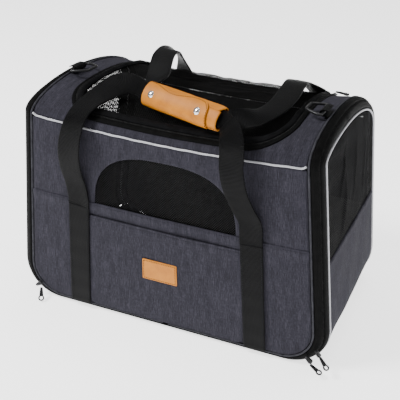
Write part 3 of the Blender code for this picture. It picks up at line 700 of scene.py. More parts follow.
def band(name, stations, degs, rises, paint, thickness=0.0012, lap=0.0):
    """A rounded strip along an edge, with a height profile across it and a lap under the panel."""
    rows = [rim_points(stations, d, r) for d, r in zip(degs, rises)]
    if lap:
        low = rim_points(stations, 0.0, -0.0020)
        rows = [low - unit(stations[:, 1]) * lap, low] + rows
    points = np.stack([warp(row) for row in rows], 1)
    run = lengths(points[:, len(rows) // 2])
    wide = lengths(points[len(points) // 2])
    made = grid(name, points, wide[None, :], run[:, None], paint, away=MIDDLE)
    return thicken(made, thickness)


def coil(name, points, ups, paint, width=0.0024, height=0.0011, pitch=0.0016):
    """Zip coil: a low rib of teeth along a path."""
    points, ups = np.asarray(points, float), np.asarray(ups, float)
    run = lengths(points)
    fine = np.linspace(0.0, run[-1], max(8, int(run[-1] / pitch * 4)))
    at, up = sample(points, run, fine), unit(sample(ups, run, fine))
    along = np.gradient(at, axis=0)
    along /= np.linalg.norm(along, axis=1)[:, None] + 1e-12
    side = np.cross(up, along)
    tooth = 0.72 + 0.28 * np.cos(2 * math.pi * fine / pitch)
    angles = np.radians(np.linspace(-20.0, 200.0, 9))
    grid_points = (at[:, None] + side[:, None] * (width / 2 * np.cos(angles))[None, :, None]
                   + up[:, None] * (height * np.sin(angles)[None, :] * tooth[:, None])[..., None])
    return grid(name, grid_points, angles[None, :] * width / 3, fine[:, None], paint,
                away=at.mean(0) - 10 * up.mean(0))


# ---------------------------------------------------------------- base and interior
def make_base():
    stop = HINGE_DEG + 0.5
    profile = []
    for end in (-1, 1):
        arc = [corner_station(end, 1, d)[0][::2] for d in np.linspace(stop, 90.0, 14)]
        profile += arc if end < 0 else arc[::-1]
    profile = np.array(profile)
    ys = np.linspace(-(HALF_Y - BAND_Y - 0.0004), HALF_Y - BAND_Y - 0.0004, 24)
    points = np.stack(np.broadcast_arrays(profile[:, None, 0], ys[None, :], profile[:, None, 1]), -1)
    base = grid("base_panel_fabric", warp(points), profile[:, None, 0], ys[None, :], BLACK_CLOTH, away=MIDDLE)
    thicken(base, 0.0018)
    place(base, "carrier_body", "black_fabric", "base_panel")

    degs = np.linspace(0.0, 90.0, 12)
    rises = 0.0007 * np.sin(np.radians(degs) * 2) ** 2
    for name, y_sign in (("front_base_binding", -1), ("rear_base_binding", 1)):
        stations = [corner_station(-1, y_sign, d) for d in np.linspace(stop, 90.0, 16)]
        stations += [((x, y_sign * HALF_Y, 0.0), (0.0, 0.0, -BASE_EDGE), (0.0, y_sign * BAND_Y, 0.0))
                     for x in np.linspace(-0.163, 0.163, 60)]
        stations += [corner_station(1, y_sign, d) for d in np.linspace(90.0, stop, 16)]
        place(band(name + "_fabric", np.array(stations), degs, rises, BLACK_CLOTH, lap=0.0052), "carrier_body",
              "black_fabric", name)

    # Fleece mat: a crowned pad with soft edges and quilted channels.
    low, high = (Vector(c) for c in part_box("floor_mat"))
    us, vs = np.linspace(-1, 1, 81), np.linspace(-1, 1, 53)
    half_w, half_d, thick = (high.x - low.x) / 2, (high.y - low.y) / 2, high.z - low.z
    u, v = np.meshgrid(us, vs)
    squeeze_u, squeeze_v = 1.0 - 0.012 * v ** 4, 1.0 - 0.02 * u ** 4
    edge = (1.0 - np.abs(u) ** 14) * (1.0 - np.abs(v) ** 10)
    quilt = 0.0022 * (bell(np.abs(u) - 0.33, 0.02) + bell(v, 0.03))
    crown = thick * (0.5 + 0.5 * np.sqrt(np.clip(edge, 0, 1))) - quilt * edge
    crown = crown + 0.0004 * ripple(u * half_w, v * half_d, 5, 0.05)
    top = np.stack([u * half_w * squeeze_u * 0.985, v * half_d * squeeze_v * 0.985, low.z + crown], -1)
    under = np.stack([top[..., 0], top[..., 1], np.full_like(u, low.z + 0.0002)
                      + thick * 0.5 * (1 - np.sqrt(np.clip(edge, 0, 1)))], -1)
    mat = grid("floor_mat_pad", top, u * half_w, v * half_d, FLEECE, away=(0, 0, -1))
    below = grid("floor_mat_under", under, u * half_w, v * half_d, FLEECE, away=(0, 0, 1))
    mat = join("floor_mat_pad", [mat, below])
    mend(mat.data, weld=0.0004)
    place(mat, "carrier_body", "fleece", "floor_mat")


# ---------------------------------------------------------------- long walls
def window_radius(x_dir, z_dir, centre_z):
    """Distance from the sill's centre to the window arch in a direction, by bisection."""
    low, high = np.zeros_like(x_dir), np.full_like(x_dir, 0.30)
    for _ in range(40):
        mid = (low + high) / 2
        x, z = mid * x_dir, centre_z + mid * z_dir
        rise = np.clip((z - WINDOW_LOW) / (WINDOW_HIGH - WINDOW_LOW), 0.0, None)
        inside = (np.abs(x) / WINDOW_HALF) ** WINDOW_POWER + rise ** WINDOW_POWER < 1.0
        low, high = np.where(inside, mid, low), np.where(inside, high, mid)
    return (low + high) / 2


def panel_relief(x, z, y_sign=-1):
    """Fine puckers and slack of the long walls' canvas."""
    slack = 0.00045 * ripple(x, z * 0.6, 11, 0.09)
    top_pucker = 0.00035 * np.sin(x * 2 * math.pi / 0.017) * bell(WALL_TOP_Z[y_sign] - z, 0.008)
    edge = np.clip((PANEL_HALF_X - np.abs(x)) / 0.02, 0.0, 1.0)
    return (slack + top_pucker) * edge


def wall_grid(upper):
    """x and z of rows over a long wall: round its bottom corners, then at the upper heights."""
    radius = CORNER_R - BASE_EDGE - PANEL_EDGE
    heights = np.concatenate([CORNER_R - radius * np.sin(np.radians(np.linspace(90, 0, 16))), upper])
    f = np.linspace(-1.0, 1.0, 121)
    z = np.broadcast_to(heights[:, None], (len(heights), len(f)))
    return f[None, :] * wall_half_x(heights)[:, None], z


def make_front():
    centre_z = SEAM_Z - 0.008
    top_z = WALL_TOP_Z[-1] - PIPING_R + 0.0004
    theta = np.radians(np.linspace(0.0, 180.0, 181))
    x_dir, z_dir = np.cos(theta), np.sin(theta)
    inner = window_radius(x_dir, z_dir, centre_z)
    outer = np.minimum(PANEL_HALF_X / np.maximum(np.abs(x_dir), 1e-6),
                       (top_z - centre_z) / np.maximum(z_dir, 1e-6))
    corner = math.atan2(top_z - centre_z, PANEL_HALF_X)
    for angle in (corner, math.pi - corner):
        outer[np.argmin(np.abs(theta - angle))] = math.hypot(top_z - centre_z, PANEL_HALF_X)
    t = np.linspace(0.0, 1.0, 26)[:, None]
    r = inner + (outer - inner) * t
    x, z = r * x_dir, centre_z + r * z_dir
    x, z = np.clip(x, -PANEL_HALF_X, PANEL_HALF_X), np.minimum(z, top_z)
    hem = 0.0007 * bell(r - inner, 0.0016)
    upper = grid("front_panel_upper", wall_point(x, z, panel_relief(x, z) - hem), x, z, HEATHER, away=MIDDLE)
    thicken(upper, CANVAS_T, inner=LINING)

    # Lower panel, lapped over the upper one along the seam, with a rounded folded edge.
    x, z = wall_grid(np.concatenate([np.linspace(CORNER_R, SEAM_Z - 0.006, 34)[1:],
                                     SEAM_Z - np.array([0.0045, 0.003, 0.0018, 0.0009, 0.0003, 0.0])]))
    lap = 0.0014 * climb(z, SEAM_Z - 0.016, 0.010)
    fold = 0.0013 * climb(z, SEAM_Z - 0.0018, 0.0018) ** 2
    groove = 0.00045 * bell(z - (SEAM_Z - GROOVE_DROP), GROOVE_W)
    out = lap - fold - groove + panel_relief(x, z)
    lower = grid("front_panel_lower", wall_point(x, z, out), x, z, HEATHER, away=MIDDLE)
    thicken(lower, CANVAS_T, inner=LINING)
    place(upper, "carrier_body", "heather", "front_panel")
    place(lower, "carrier_body", "heather", "front_panel")

    xs = np.linspace(-PANEL_HALF_X + 0.003, PANEL_HALF_X - 0.003, 240)
    seam = wall_point(xs, SEAM_Z - GROOVE_DROP, 0.0010 + panel_relief(xs, SEAM_Z))
    place(stitches("front_seam_stitches", seam, (0.0, -1.0, 0.03), THREAD_DARK), "carrier_body", "heather")

    u = np.linspace(-WINDOW_HALF - 0.005, WINDOW_HALF + 0.005, 90)[None, :]
    v = np.linspace(SEAM_Z - 0.006, WINDOW_HIGH + 0.005, 34)[:, None]
    sag = -0.0022 - 0.0012 * np.sin(climb(v, SEAM_Z, 0.075) * math.pi) + 0.0005 * ripple(u, v, 3, 0.05)
    net = grid("front_window_net", wall_point(u, v, sag), u + 0 * v, v + 0 * u, NET_SIDE, away=MIDDLE)
    place(net, "carrier_body", "mesh", "front_window_mesh")


def make_pocket():
    half, low = STRAP_X - STRAP_W / 2 + 0.001, 0.0105
    radius = 0.013
    arc = np.radians(np.linspace(90.0, 0.0, 12))
    heights = np.concatenate([low + radius * (1 - np.sin(arc)), np.linspace(low + radius, POCKET_TOP_Z - 0.006, 36)[1:],
                              POCKET_TOP_Z - np.array([0.0042, 0.0028, 0.0016, 0.0007, 0.0])])
    rise = np.clip((low + radius - heights) / radius, 0.0, 1.0)
    halves = half - radius * (1 - np.sqrt(1 - rise ** 2)) * 0.9
    f = np.linspace(-1.0, 1.0, 101)
    z = np.broadcast_to(heights[:, None], (len(heights), len(f)))
    x = f[None, :] * halves[:, None]
    mouth = climb(z, POCKET_TOP_Z - 0.030, 0.030) ** 2
    gape = (0.0010 + 0.0005 * np.sin(x * 31.0 + 0.8)) * mouth * (1 - f[None, :] ** 6)
    roll = 0.0006 * climb(z, POCKET_TOP_Z - 0.0014, 0.0014) ** 2
    groove = 0.0004 * bell(z - (POCKET_TOP_Z - 0.0040), GROOVE_W)
    slack = 0.0004 * ripple(x, z, 21, 0.07) * (1 - f[None, :] ** 4)
    pocket = grid("front_pocket_panel", wall_point(x, z, 0.0016 + gape - roll - groove + slack), x, z, HEATHER,
                  away=MIDDLE)
    thicken(pocket, 0.0011)
    place(pocket, "carrier_body", "heather", "front_pocket")
    xs = np.linspace(-half + 0.002, half - 0.002, 160)
    hem = wall_point(xs, POCKET_TOP_Z - 0.0040, 0.0022 + 0.0005 * np.sin(xs * 31.0 + 0.8))
    place(stitches("pocket_hem_stitches", hem, (0.0, -1.0, 0.03), THREAD_DARK), "carrier_body", "heather")


def make_patch():
    half_w, half_h, corner, inset = PATCH_W / 2, PATCH_H / 2, 0.0016, 0.0021
    u, v = np.meshgrid(np.linspace(-1, 1, 41), np.linspace(-1, 1, 27))
    dx = np.maximum(np.abs(u) * half_w - (half_w - corner), 0.0)
    dz = np.maximum(np.abs(v) * half_h - (half_h - corner), 0.0)
    far = np.hypot(dx, dz)
    pull = np.where(far > corner, corner / np.maximum(far, 1e-9), 1.0)
    x = np.sign(u) * (np.minimum(np.abs(u) * half_w, half_w - corner) + dx * pull)
    z = np.sign(v) * (np.minimum(np.abs(v) * half_h, half_h - corner) + dz * pull)
    edge = np.minimum(half_w - np.abs(x), half_h - np.abs(z))
    dome = 0.0007 * np.clip(edge / 0.0012, 0.0, 1.0) ** 0.5
    groove = 0.00028 * bell(edge - inset, 0.0005)
    out = 0.0026 + dome - groove
    patch = grid("leather_patch_face", wall_point(PATCH_X + x, PATCH_Z + z, out), x, z, LEATHER, away=MIDDLE)
    thicken(patch, 0.0012)
    place(patch, "carrier_body", "leather", "leather_patch")
    a, b = half_w - inset, half_h - inset
    loop = [(-a, -b), (a, -b), (a, b), (-a, b), (-a, -b)]
    path = np.vstack([np.linspace(p, q, 20)[:-1] for p, q in zip(loop, loop[1:])] + [[loop[-1]]])
    line = wall_point(PATCH_X + path[:, 0], PATCH_Z + path[:, 1], 0.0032)
    place(stitches("patch_stitches", line, (0.0, -1.0, 0.0), THREAD_TAN, pitch=0.0024, length=0.0014,
                   radius=0.00036), "carrier_body", "leather")


STRAP_TOP_Z = 0.160


def strap_centre(z, x_sign, y_sign):
    return wall_point(x_sign * STRAP_X, z, 0.0018 + WEBBING_T / 2, y_sign)


def make_straps():
    for name, y_sign, x_sign in (("front_left_strap", -1, -1), ("front_right_strap", -1, 1),
                                 ("rear_left_strap", 1, -1), ("rear_right_strap", 1, 1)):
        z = np.linspace(0.0085, STRAP_TOP_Z, 60)
        centres = strap_centre(z, x_sign, y_sign)
        centres[:, 1] += y_sign * 0.00012 * np.sin(z * 240.0)
        place(ribbon(name + "_webbing", centres, (x_sign, 0.0, 0.0), WEBBING), "carrier_body", "webbing", name)
        for side in (-1, 1):
            at = centres + np.array((side * (STRAP_W / 2 - SELVEDGE_IN), y_sign * (WEBBING_T / 2 - 0.0001), 0.0))
            place(stitches(f"{name}_stitches_{'left' if side < 0 else 'right'}", at, (0.0, y_sign, 0.0),
                           THREAD_DARK, radius=0.00022), "carrier_body", "webbing")


def make_back():
    x, z = wall_grid(np.linspace(CORNER_R, WALL_TOP_Z[1] - PIPING_R + 0.0004, 60)[1:])
    step = 0.0007 / (1 + np.exp((z - SEAM_Z) / 0.0004))
    groove = 0.00045 * bell(z - (SEAM_Z - GROOVE_DROP), GROOVE_W)
    back = grid("back_panel_fabric", wall_point(x, z, step - groove + panel_relief(-x, z, 1), 1), x, z, HEATHER,
                away=MIDDLE)
    thicken(back, CANVAS_T, inner=LINING)
    place(back, "carrier_body", "heather", "back_panel")
    xs = np.linspace(-PANEL_HALF_X + 0.003, PANEL_HALF_X - 0.003, 240)
    seam = wall_point(xs, SEAM_Z - GROOVE_DROP, 0.0004 + panel_relief(-xs, SEAM_Z, 1), 1)
    place(stitches("back_seam_stitches", seam, (0.0, 1.0, 0.03), THREAD_DARK), "carrier_body", "heather")


# ---------------------------------------------------------------- top
def ring_rows(insets, lifts):
    """Rows of points round the top opening, one for each inset and lift."""
    rows = []
    for inset, lift in zip(insets, lifts):
        loop = top_outline(inset)
        rows.append(top_point(loop[:, 0], arch_run(loop[:, 1]), lift))
    return np.array(rows)


def make_top():
    loop = top_outline(0.0)
    x0, s0 = loop[:, 0], arch_run(loop[:, 1])
    hx = PANEL_HALF_X
    front_s, rear_s = ARCH_S[0] + 0.0008, ARCH_S[-1] - 0.0008
    centre_s = (arch_run(TOP_FRONT_Y) + arch_run(TOP_REAR_Y)) / 2
    dx, ds = x0, s0 - centre_s
    reach = np.minimum(hx / np.maximum(np.abs(dx), 1e-9),
                       np.where(ds > 0, rear_s - centre_s, centre_s - front_s) / np.maximum(np.abs(ds), 1e-9))
    x1, s1 = dx * reach, centre_s + ds * reach
    for cx, cs in ((hx, rear_s), (-hx, rear_s), (-hx, front_s), (hx, front_s)):
        angle = math.atan2(cs - centre_s, cx)
        gap = np.abs((np.arctan2(ds, dx) - angle + math.pi) % (2 * math.pi) - math.pi)
        k = int(np.argmin(gap))
        x1[k], s1[k] = cx, cs
    t = np.linspace(0.0, 1.0, 18)[:, None]
    x, s = x0 + (x1 - x0) * t, s0 + (s1 - s0) * t
    slack = 0.0006 * ripple(x, s, 31, 0.06) * np.sin(t * math.pi)
    pucker = 0.0004 * np.sin(x * 2 * math.pi / 0.015) * bell(np.minimum(s - front_s, rear_s - s), 0.006)
    border = grid("top_border_fabric", top_point(x, s, slack + pucker - 0.0004), x, s, HEATHER, away=MIDDLE,
                  weld=True)
    thicken(border, CANVAS_T, inner=LINING)
    place(border, "carrier_body", "heather", "top_border")

    # Fixed side of the top zip: tape, then its coil.
    insets = np.linspace(-0.0012, TOP_TAPE_W - 0.0006, 8)
    lifts = np.array([0.0002, 0.0010, 0.0013, 0.0013, 0.0012, 0.0010, 0.0008, 0.0004])
    rows = ring_rows(insets, lifts)
    run = lengths(rows[3])
    tape = grid("top_zip_tape_fabric", rows, insets[:, None], run[None, :], ZIP_TAPE, away=MIDDLE, weld=True)
    thicken(tape, 0.0010)
    place(tape, "carrier_body", "zip", "top_zip_tape")
    ridge, above = ring_rows([TOP_TAPE_W - 0.0003] * 2, [0.0008, 0.0100])
    place(coil("top_zip_coil", ridge, above - ridge, COIL), "carrier_body", "zip")

    # Rolled binding of the door: a fat, slightly uneven half-round.
    insets = np.linspace(TOP_TAPE_W + 0.0004, TOP_TAPE_W + TOP_BINDING_W + 0.0032, 14)
    f = np.linspace(0.0, 1.0, 14)
    lifts = 0.0002 + 0.0042 * np.sqrt(np.clip(1 - (2 * f - 1) ** 2, 0, 1)) ** 0.9
    rows = ring_rows(insets, lifts)
    run = lengths(rows[7])
    turns = run / run[-1] * 2 * math.pi
    wave = 1.0 + 0.10 * np.sin(turns * 23) + 0.07 * np.sin(turns * 57)
    rows[..., 2] += (lifts[:, None] - 0.0002) * (wave[None, :] - 1.0)
    binding = grid("top_door_binding_roll", rows, insets[:, None], run[None, :], BLACK_CLOTH, away=MIDDLE,
                   weld=True)
    thicken(binding, 0.0012)
    place(binding, "top_door", "zip", "top_door_binding")
    line, above = ring_rows([TOP_TAPE_W + TOP_BINDING_W + 0.0022] * 2, [0.0024, 0.0100])
    place(stitches("top_door_stitches", line, above - line, THREAD_DARK), "top_door", "zip")

    edge = top_outline(TOP_TAPE_W + TOP_BINDING_W)
    ex, es = edge[:, 0], arch_run(edge[:, 1])
    centre = np.array((0.0, (es.min() + es.max()) / 2))
    k = np.concatenate([np.linspace(0.0, 0.90, 46), np.linspace(0.90, 1.0, 9)[1:]])[:, None]
    x = centre[0] + (ex - centre[0]) * k
    s = centre[1] + (es - centre[1]) * k
    net = grid("top_door_net", top_point(x, s, top_relief(x, s, k)), x, s, NET_TOP, away=MIDDLE, weld=True)
    place(net, "top_door", "mesh", "top_door_mesh")


def ridge(x, s, start, end, width, height):
    """A soft fold along a line from start to end."""
    a, b = np.array(start), np.array(end)
    d = b - a
    t = np.clip(((x - a[0]) * d[0] + (s - a[1]) * d[1]) / d.dot(d), 0.0, 1.0)
    far = np.hypot(x - a[0] - d[0] * t, s - a[1] - d[1] * t)
    return height * bell(far, width) * np.sin(np.clip(t, 0.04, 0.96) * math.pi) ** 0.5


def ridges(x, s, *folds):
    return sum(ridge(x, s, *fold) for fold in folds)


def top_relief(x, s, k):
    """Sag and folds of the slack top net; k is 1 at its edge."""
    free = np.clip((1.0 - k) / 0.16, 0.0, 1.0)
    free = free * free * (3 - 2 * free)
    sag = -0.0050 * np.clip(1 - (x / 0.155) ** 2, 0, 1) * bell(s + 0.020, 0.055)
    rear = 0.0060 * bell(s - 0.098, 0.020) * np.clip(1 - (x / 0.135) ** 4, 0, 1)
    folds = ridges(x, s,
                   ((-0.150, -0.035), (-0.060, -0.065), 0.007, 0.0040),
                   ((-0.140, 0.000), (-0.095, -0.040), 0.006, 0.0035),
                   ((-0.060, -0.075), (0.020, -0.090), 0.006, 0.0030),
                   ((0.085, -0.060), (0.140, -0.020), 0.008, 0.0035),
                   ((0.105, -0.075), (0.150, 0.010), 0.006, 0.0030),
                   ((0.000, 0.020), (0.090, 0.050), 0.008, 0.0030),
                   ((-0.090, 0.030), (-0.030, 0.070), 0.009, 0.0025))
    uneven = 0.0011 * ripple(x, s, 41, 0.055) + 0.0003 * ripple(x, s, 43, 0.016)
    return free * (sag + rear + folds + uneven) - 0.0002


def make_top_piping():
    for name, y_sign in (("front_top_piping", -1), ("rear_top_piping", 1)):
        xs = np.linspace(-PANEL_HALF_X + 0.0005, PANEL_HALF_X - 0.0005, 160)
        z = WALL_TOP_Z[y_sign] + 0.0002 * np.sin(xs * 190.0) + 0.0030 * climb(np.abs(xs), 0.193, 0.008) ** 2
        y = y_sign * (HALF_Y + 0.0005 + 0.00015 * np.sin(xs * 130.0))
        path = warp(np.stack([xs, y, z], -1))
        place(tube(name + "_cord", path, PIPING_R * 0.8, SILVER), "carrier_body", "piping", name)


# ---------------------------------------------------------------- ends
def end_face(end, y, z, out=0.0):
    y, z = np.broadcast_arrays(np.asarray(y, float), np.asarray(z, float))
    rise = np.clip((CORNER_R - z) / CORNER_R, 0.0, 1.0)
    x = HALF_X - CORNER_R + CORNER_R * np.sqrt(1 - rise ** 2)
    slope = rise / np.sqrt(np.clip(1 - rise ** 2, 1e-3, 1))
    norm = np.hypot(1.0, slope)
    return warp(np.stack([end * (x + out / norm), y, z - out * slope / norm], -1))


def make_end(side, end):
    body, door = "carrier_body", side + "_door"
    full = end_stations(end, HINGE_DEG)
    degs = np.array([0.0, 3.0, 7.0, 12.0, 18.0, 24.0, 30.0, 35.0, 39.0, 41.5, 43.0, 45.0, 48.0, 52.0])
    rises = 0.001 * np.array([-0.3, 0.35, 0.75, 0.9, 0.9, 0.9, 0.85, 0.7, 0.3, -0.5, -1.2, -2.0, -2.9, -3.0])
    tape = band(side + "_zip_tape_fabric", full, degs, rises, ZIP_TAPE, lap=0.0052)
    place(tape, body, "zip", side + "_zip_tape")
    low, high = warp(rim_points(full, 45.0, -0.0012)), warp(rim_points(full, 45.0, 0.0060))
    place(coil(side + "_zip_coil", low, high - low, COIL, width=0.0026, height=0.0013), body, "zip")

    stations = end_stations(end, HINGE_DEG - 1.5)
    degs = np.array([47.0, 48.5, 51.0, 55.0, 61.0, 68.0, 75.0, 82.0, 87.0, 90.0])
    rises = 0.001 * np.array([-1.2, -0.5, 0.3, 0.7, 0.85, 0.9, 0.9, 0.7, 0.3, -0.4])
    tape = band(side + "_door_zip_tape_fabric", stations, degs, rises, ZIP_TAPE)
    place(tape, door, "zip", side + "_door_zip_tape")

    # Dark cord between the long walls and the band, down and along the base.
    inward = CORD_R + 0.0004
    path = []
    for y_sign in (-1, 1):
        xs = np.linspace(0.004, HALF_X - CORNER_R, 50)
        run = [(end * x, y_sign * HALF_Y, BASE_EDGE + inward) for x in xs]
        for d in np.linspace(90.0, 0.0, 20)[1:]:
            corner, along, _ = corner_station(end, y_sign, d)
            p = np.array(corner) - np.array(along)
            mid = np.array((end * (HALF_X - CORNER_R - (BAND_X - BASE_EDGE)), y_sign * HALF_Y, CORNER_R))
            run.append(tuple(p + (mid - p) / np.linalg.norm(mid - p) * inward))
        if y_sign < 0:
            upper = rim_points(end_stations(end, 0.0)[22:-22], 0.0)
            upper[:, 0] -= end * inward
            path += run + [tuple(p) for p in upper]
        else:
            path += run[::-1]
    cord = tube(side + "_edge_cord_run", warp(np.array(path)), CORD_R, CORD, sides=8)
    place(cord, body, "cord", side + "_edge_cord")

    step = PIPING_R + 0.0010
    path = rim_points(stations, 90.0) - unit(stations[:, 2]) * step
    place(tube(side + "_door_piping_cord", warp(path), PIPING_R * 0.9, SILVER, sides=8), door, "piping",
          side + "_door_piping")

    # Heather lower half of the door, with a soft fold where it turns over the hinge.
    edge = BAND_Y - 0.0004
    half_y = HALF_Y - edge
    angles = np.radians(np.linspace(HINGE_DEG + 3.0, 0.0, 16))
    heights = np.concatenate([CORNER_R - CORNER_R * np.sin(angles), np.linspace(CORNER_R, DOOR_SEAM_Z, 30)[1:]])
    ys = np.linspace(-half_y, half_y, 61)
    z, y = np.meshgrid(heights, ys, indexing="ij")
    span = climb(z, heights[0], DOOR_SEAM_Z - heights[0])
    swell = 0.0022 * (1 - (y / half_y) ** 2) * np.sin(span * math.pi * 0.85)
    held = np.clip(span * 4, 0, 1) * np.clip((1 - np.abs(y) / half_y) * 8, 0, 1)
    lap = 0.0008 * climb(z, DOOR_SEAM_Z - 0.010, 0.006)
    fold = 0.0010 * climb(z, DOOR_SEAM_Z - 0.0012, 0.0012) ** 2
    out = swell + 0.0005 * ripple(y, z, 51 + end, 0.06) * held + lap - fold
    out = out - 0.0026 * np.clip((np.abs(y) - half_y + 0.0052) / 0.0012, 0, 1)
    panel = grid(side + "_door_panel_fabric", end_face(end, y, z, out), y * end, z, HEATHER, away=MIDDLE)
    thicken(panel, CANVAS_T, inner=LINING)
    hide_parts(side + "_door_panel")
    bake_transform(panel)
    line_y = np.linspace(-half_y + 0.002, half_y - 0.002, 120)
    line = end_face(end, line_y, DOOR_SEAM_Z - GROOVE_DROP, 0.0010)
    place(stitches(side + "_door_seam_stitches", line, (end, 0.0, 0.1), THREAD_DARK), door, "heather")

    # Net upper half: slack, with creases running down from the arch.
    ys = half_y * np.sin(np.linspace(-math.pi / 2, math.pi / 2, 91))
    rear = (ys > CREST_Y)
    reach = np.where(rear, SHOULDER_Y[1] - edge, SHOULDER_Y[-1] - edge)
    fall = np.where(rear, SHOULDER_Z[1] - edge, SHOULDER_Z[-1] - edge)
    arch = HEIGHT - edge - fall * (1 - np.sqrt(np.clip(1 - ((ys - CREST_Y) / reach) ** 2, 0, 1)))
    low_z, high_z = DOOR_SEAM_Z - 0.003, HEIGHT - edge
    f = np.linspace(0.0, 1.0, 66)[:, None]
    y, z = np.broadcast_to(ys, (66, 91)), low_z + (arch[None, :] - low_z) * f
    free = (np.clip((1 - np.abs(y) / half_y) / 0.12, 0, 1) * climb(z, DOOR_SEAM_Z, 0.010)
            * np.clip((arch[None, :] - z) / 0.012, 0, 1))
    creases = ridges(y, z,
                     ((-0.030, 0.262), (-0.060, 0.205), 0.0035, 0.0032),
                     ((-0.030, 0.222), (-0.052, 0.150), 0.0035, 0.0028),
                     ((0.020, 0.255), (-0.004, 0.165), 0.0045, 0.0022),
                     ((0.062, 0.235), (0.050, 0.165), 0.0045, 0.0020))
    swell = 0.0016 * np.cos(y / half_y * math.pi / 2)
    out = free * (swell + creases + 0.0009 * ripple(y, z, 61 + end, 0.05)) - 0.0006
    rim = np.minimum(half_y - np.abs(y), arch[None, :] - z)
    out = out - 0.0022 * np.clip((0.0052 - rim) / 0.0012, 0, 1)
    net = grid(side + "_door_net", end_face(end, y, z, out), y * end, z, NET_SIDE, away=MIDDLE)
    place(net, door, "mesh", side + "_door_mesh")


# ---------------------------------------------------------------- handles and wrap
def wrap_frame():
    along = (WRAP_RIGHT - WRAP_LEFT).normalized()
    level = Vector((along.y, -along.x, 0.0)).normalized()
    tilt = math.radians(WRAP_TILT_DEG)
    normal = level * math.cos(tilt) + Vector((0, 0, 1)) * math.sin(tilt)
    normal = (normal - along * normal.dot(along)).normalized()
    wide = normal.cross(along).normalized()
    if wide.z < 0:
        wide = -wide
    return (WRAP_LEFT + WRAP_RIGHT) / 2, along, wide, normal


FRONT_LEFT = (
    ((-0.1158, -0.1345, 0.1880), (-1, 0, 0)), ((-0.1172, -0.1400, 0.2080), (-1, 0, 0)),
    ((-0.1160, -0.1448, 0.2320), (-1, 0, 0)), ((-0.1125, -0.1445, 0.2540), (-1, 0.05, 0)),
    ((-0.1102, -0.1375, 0.2700), (-1, 0.12, 0)), ((-0.1080, -0.1250, 0.2810), (-1, 0.25, 0.05)),
    ((-0.1015, -0.1085, 0.2900), (-0.90, 0.40, 0.20)), ((-0.0915, -0.0900, 0.2980), (-0.50, 0.60, 0.55)),
    ((-0.0780, -0.0745, 0.3040), (-0.10, 0.63, 0.75)), ((-0.0610, -0.0725, 0.3030), (0.12, 0.62, 0.77)),
)
FRONT_RIGHT = (
    ((0.0770, -0.1250, 0.2975), (0.45, 0.52, 0.73)), ((0.0845, -0.1345, 0.2945), (0.85, 0.15, 0.45)),
    ((0.0895, -0.1425, 0.2875), (1, 0, 0.12)), ((0.0925, -0.1480, 0.2765), (1, 0, 0)),
    ((0.0935, -0.1500, 0.2560), (1, 0, 0)), ((0.0975, -0.1475, 0.2320), (1, 0, 0)),
    ((0.1050, -0.1405, 0.2080), (1, 0, 0)), ((0.1130, -0.1345, 0.1880), (1, 0, 0)),
)
REAR_LEFT = (
    ((-0.1140, 0.1355, 0.1950), (-1, 0, 0)), ((-0.1090, 0.1385, 0.2200), (-1, 0, 0)),
    ((-0.1020, 0.1380, 0.2420), (-1, 0.15, 0)), ((-0.0940, 0.1280, 0.2610), (-0.95, 0.3, 0.1)),
    ((-0.0860, 0.1110, 0.2770), (-0.85, 0.45, 0.25)), ((-0.0800, 0.0880, 0.2930), (-0.80, 0.50, 0.30)),
    ((-0.0770, 0.0640, 0.3080), (-0.85, 0.40, 0.25)), ((-0.0735, 0.0380, 0.3185), (-0.95, 0.15, 0.05)),
    ((-0.0680, 0.0100, 0.3190), (-1, -0.10, 0)), ((-0.0590, -0.0170, 0.3140), (-1, -0.15, -0.05)),
    ((-0.0510, -0.0400, 0.3090), (-0.95, -0.30, -0.15)), ((-0.0465, -0.0600, 0.3040), (-0.60, -0.55, -0.55)),
)
REAR_RIGHT = (
    ((0.0790, -0.1080, 0.2990), (0.20, -0.55, -0.70)), ((0.0930, -0.0980, 0.2995), (0.65, -0.40, -0.40)),
    ((0.1040, -0.0820, 0.3005), (0.97, -0.15, -0.10)), ((0.1110, -0.0600, 0.3030), (1, 0, 0)),
    ((0.1130, -0.0320, 0.3070), (1, 0, 0)), ((0.1110, 0.0000, 0.3105), (1, 0, 0)),
    ((0.1080, 0.0280, 0.3080), (1, 0, 0)), ((0.1075, 0.0550, 0.2980), (1, 0, 0)),
    ((0.1090, 0.0830, 0.2860), (1, 0, 0)), ((0.1115, 0.1070, 0.2740), (1, 0, 0)),
    ((0.1125, 0.1270, 0.2580), (1, 0, 0)), ((0.1125, 0.1375, 0.2360), (1, 0, 0)),
    ((0.1140, 0.1380, 0.2100), (1, 0, 0)), ((0.1150, 0.1345, 0.1880), (1, 0, 0)),
)


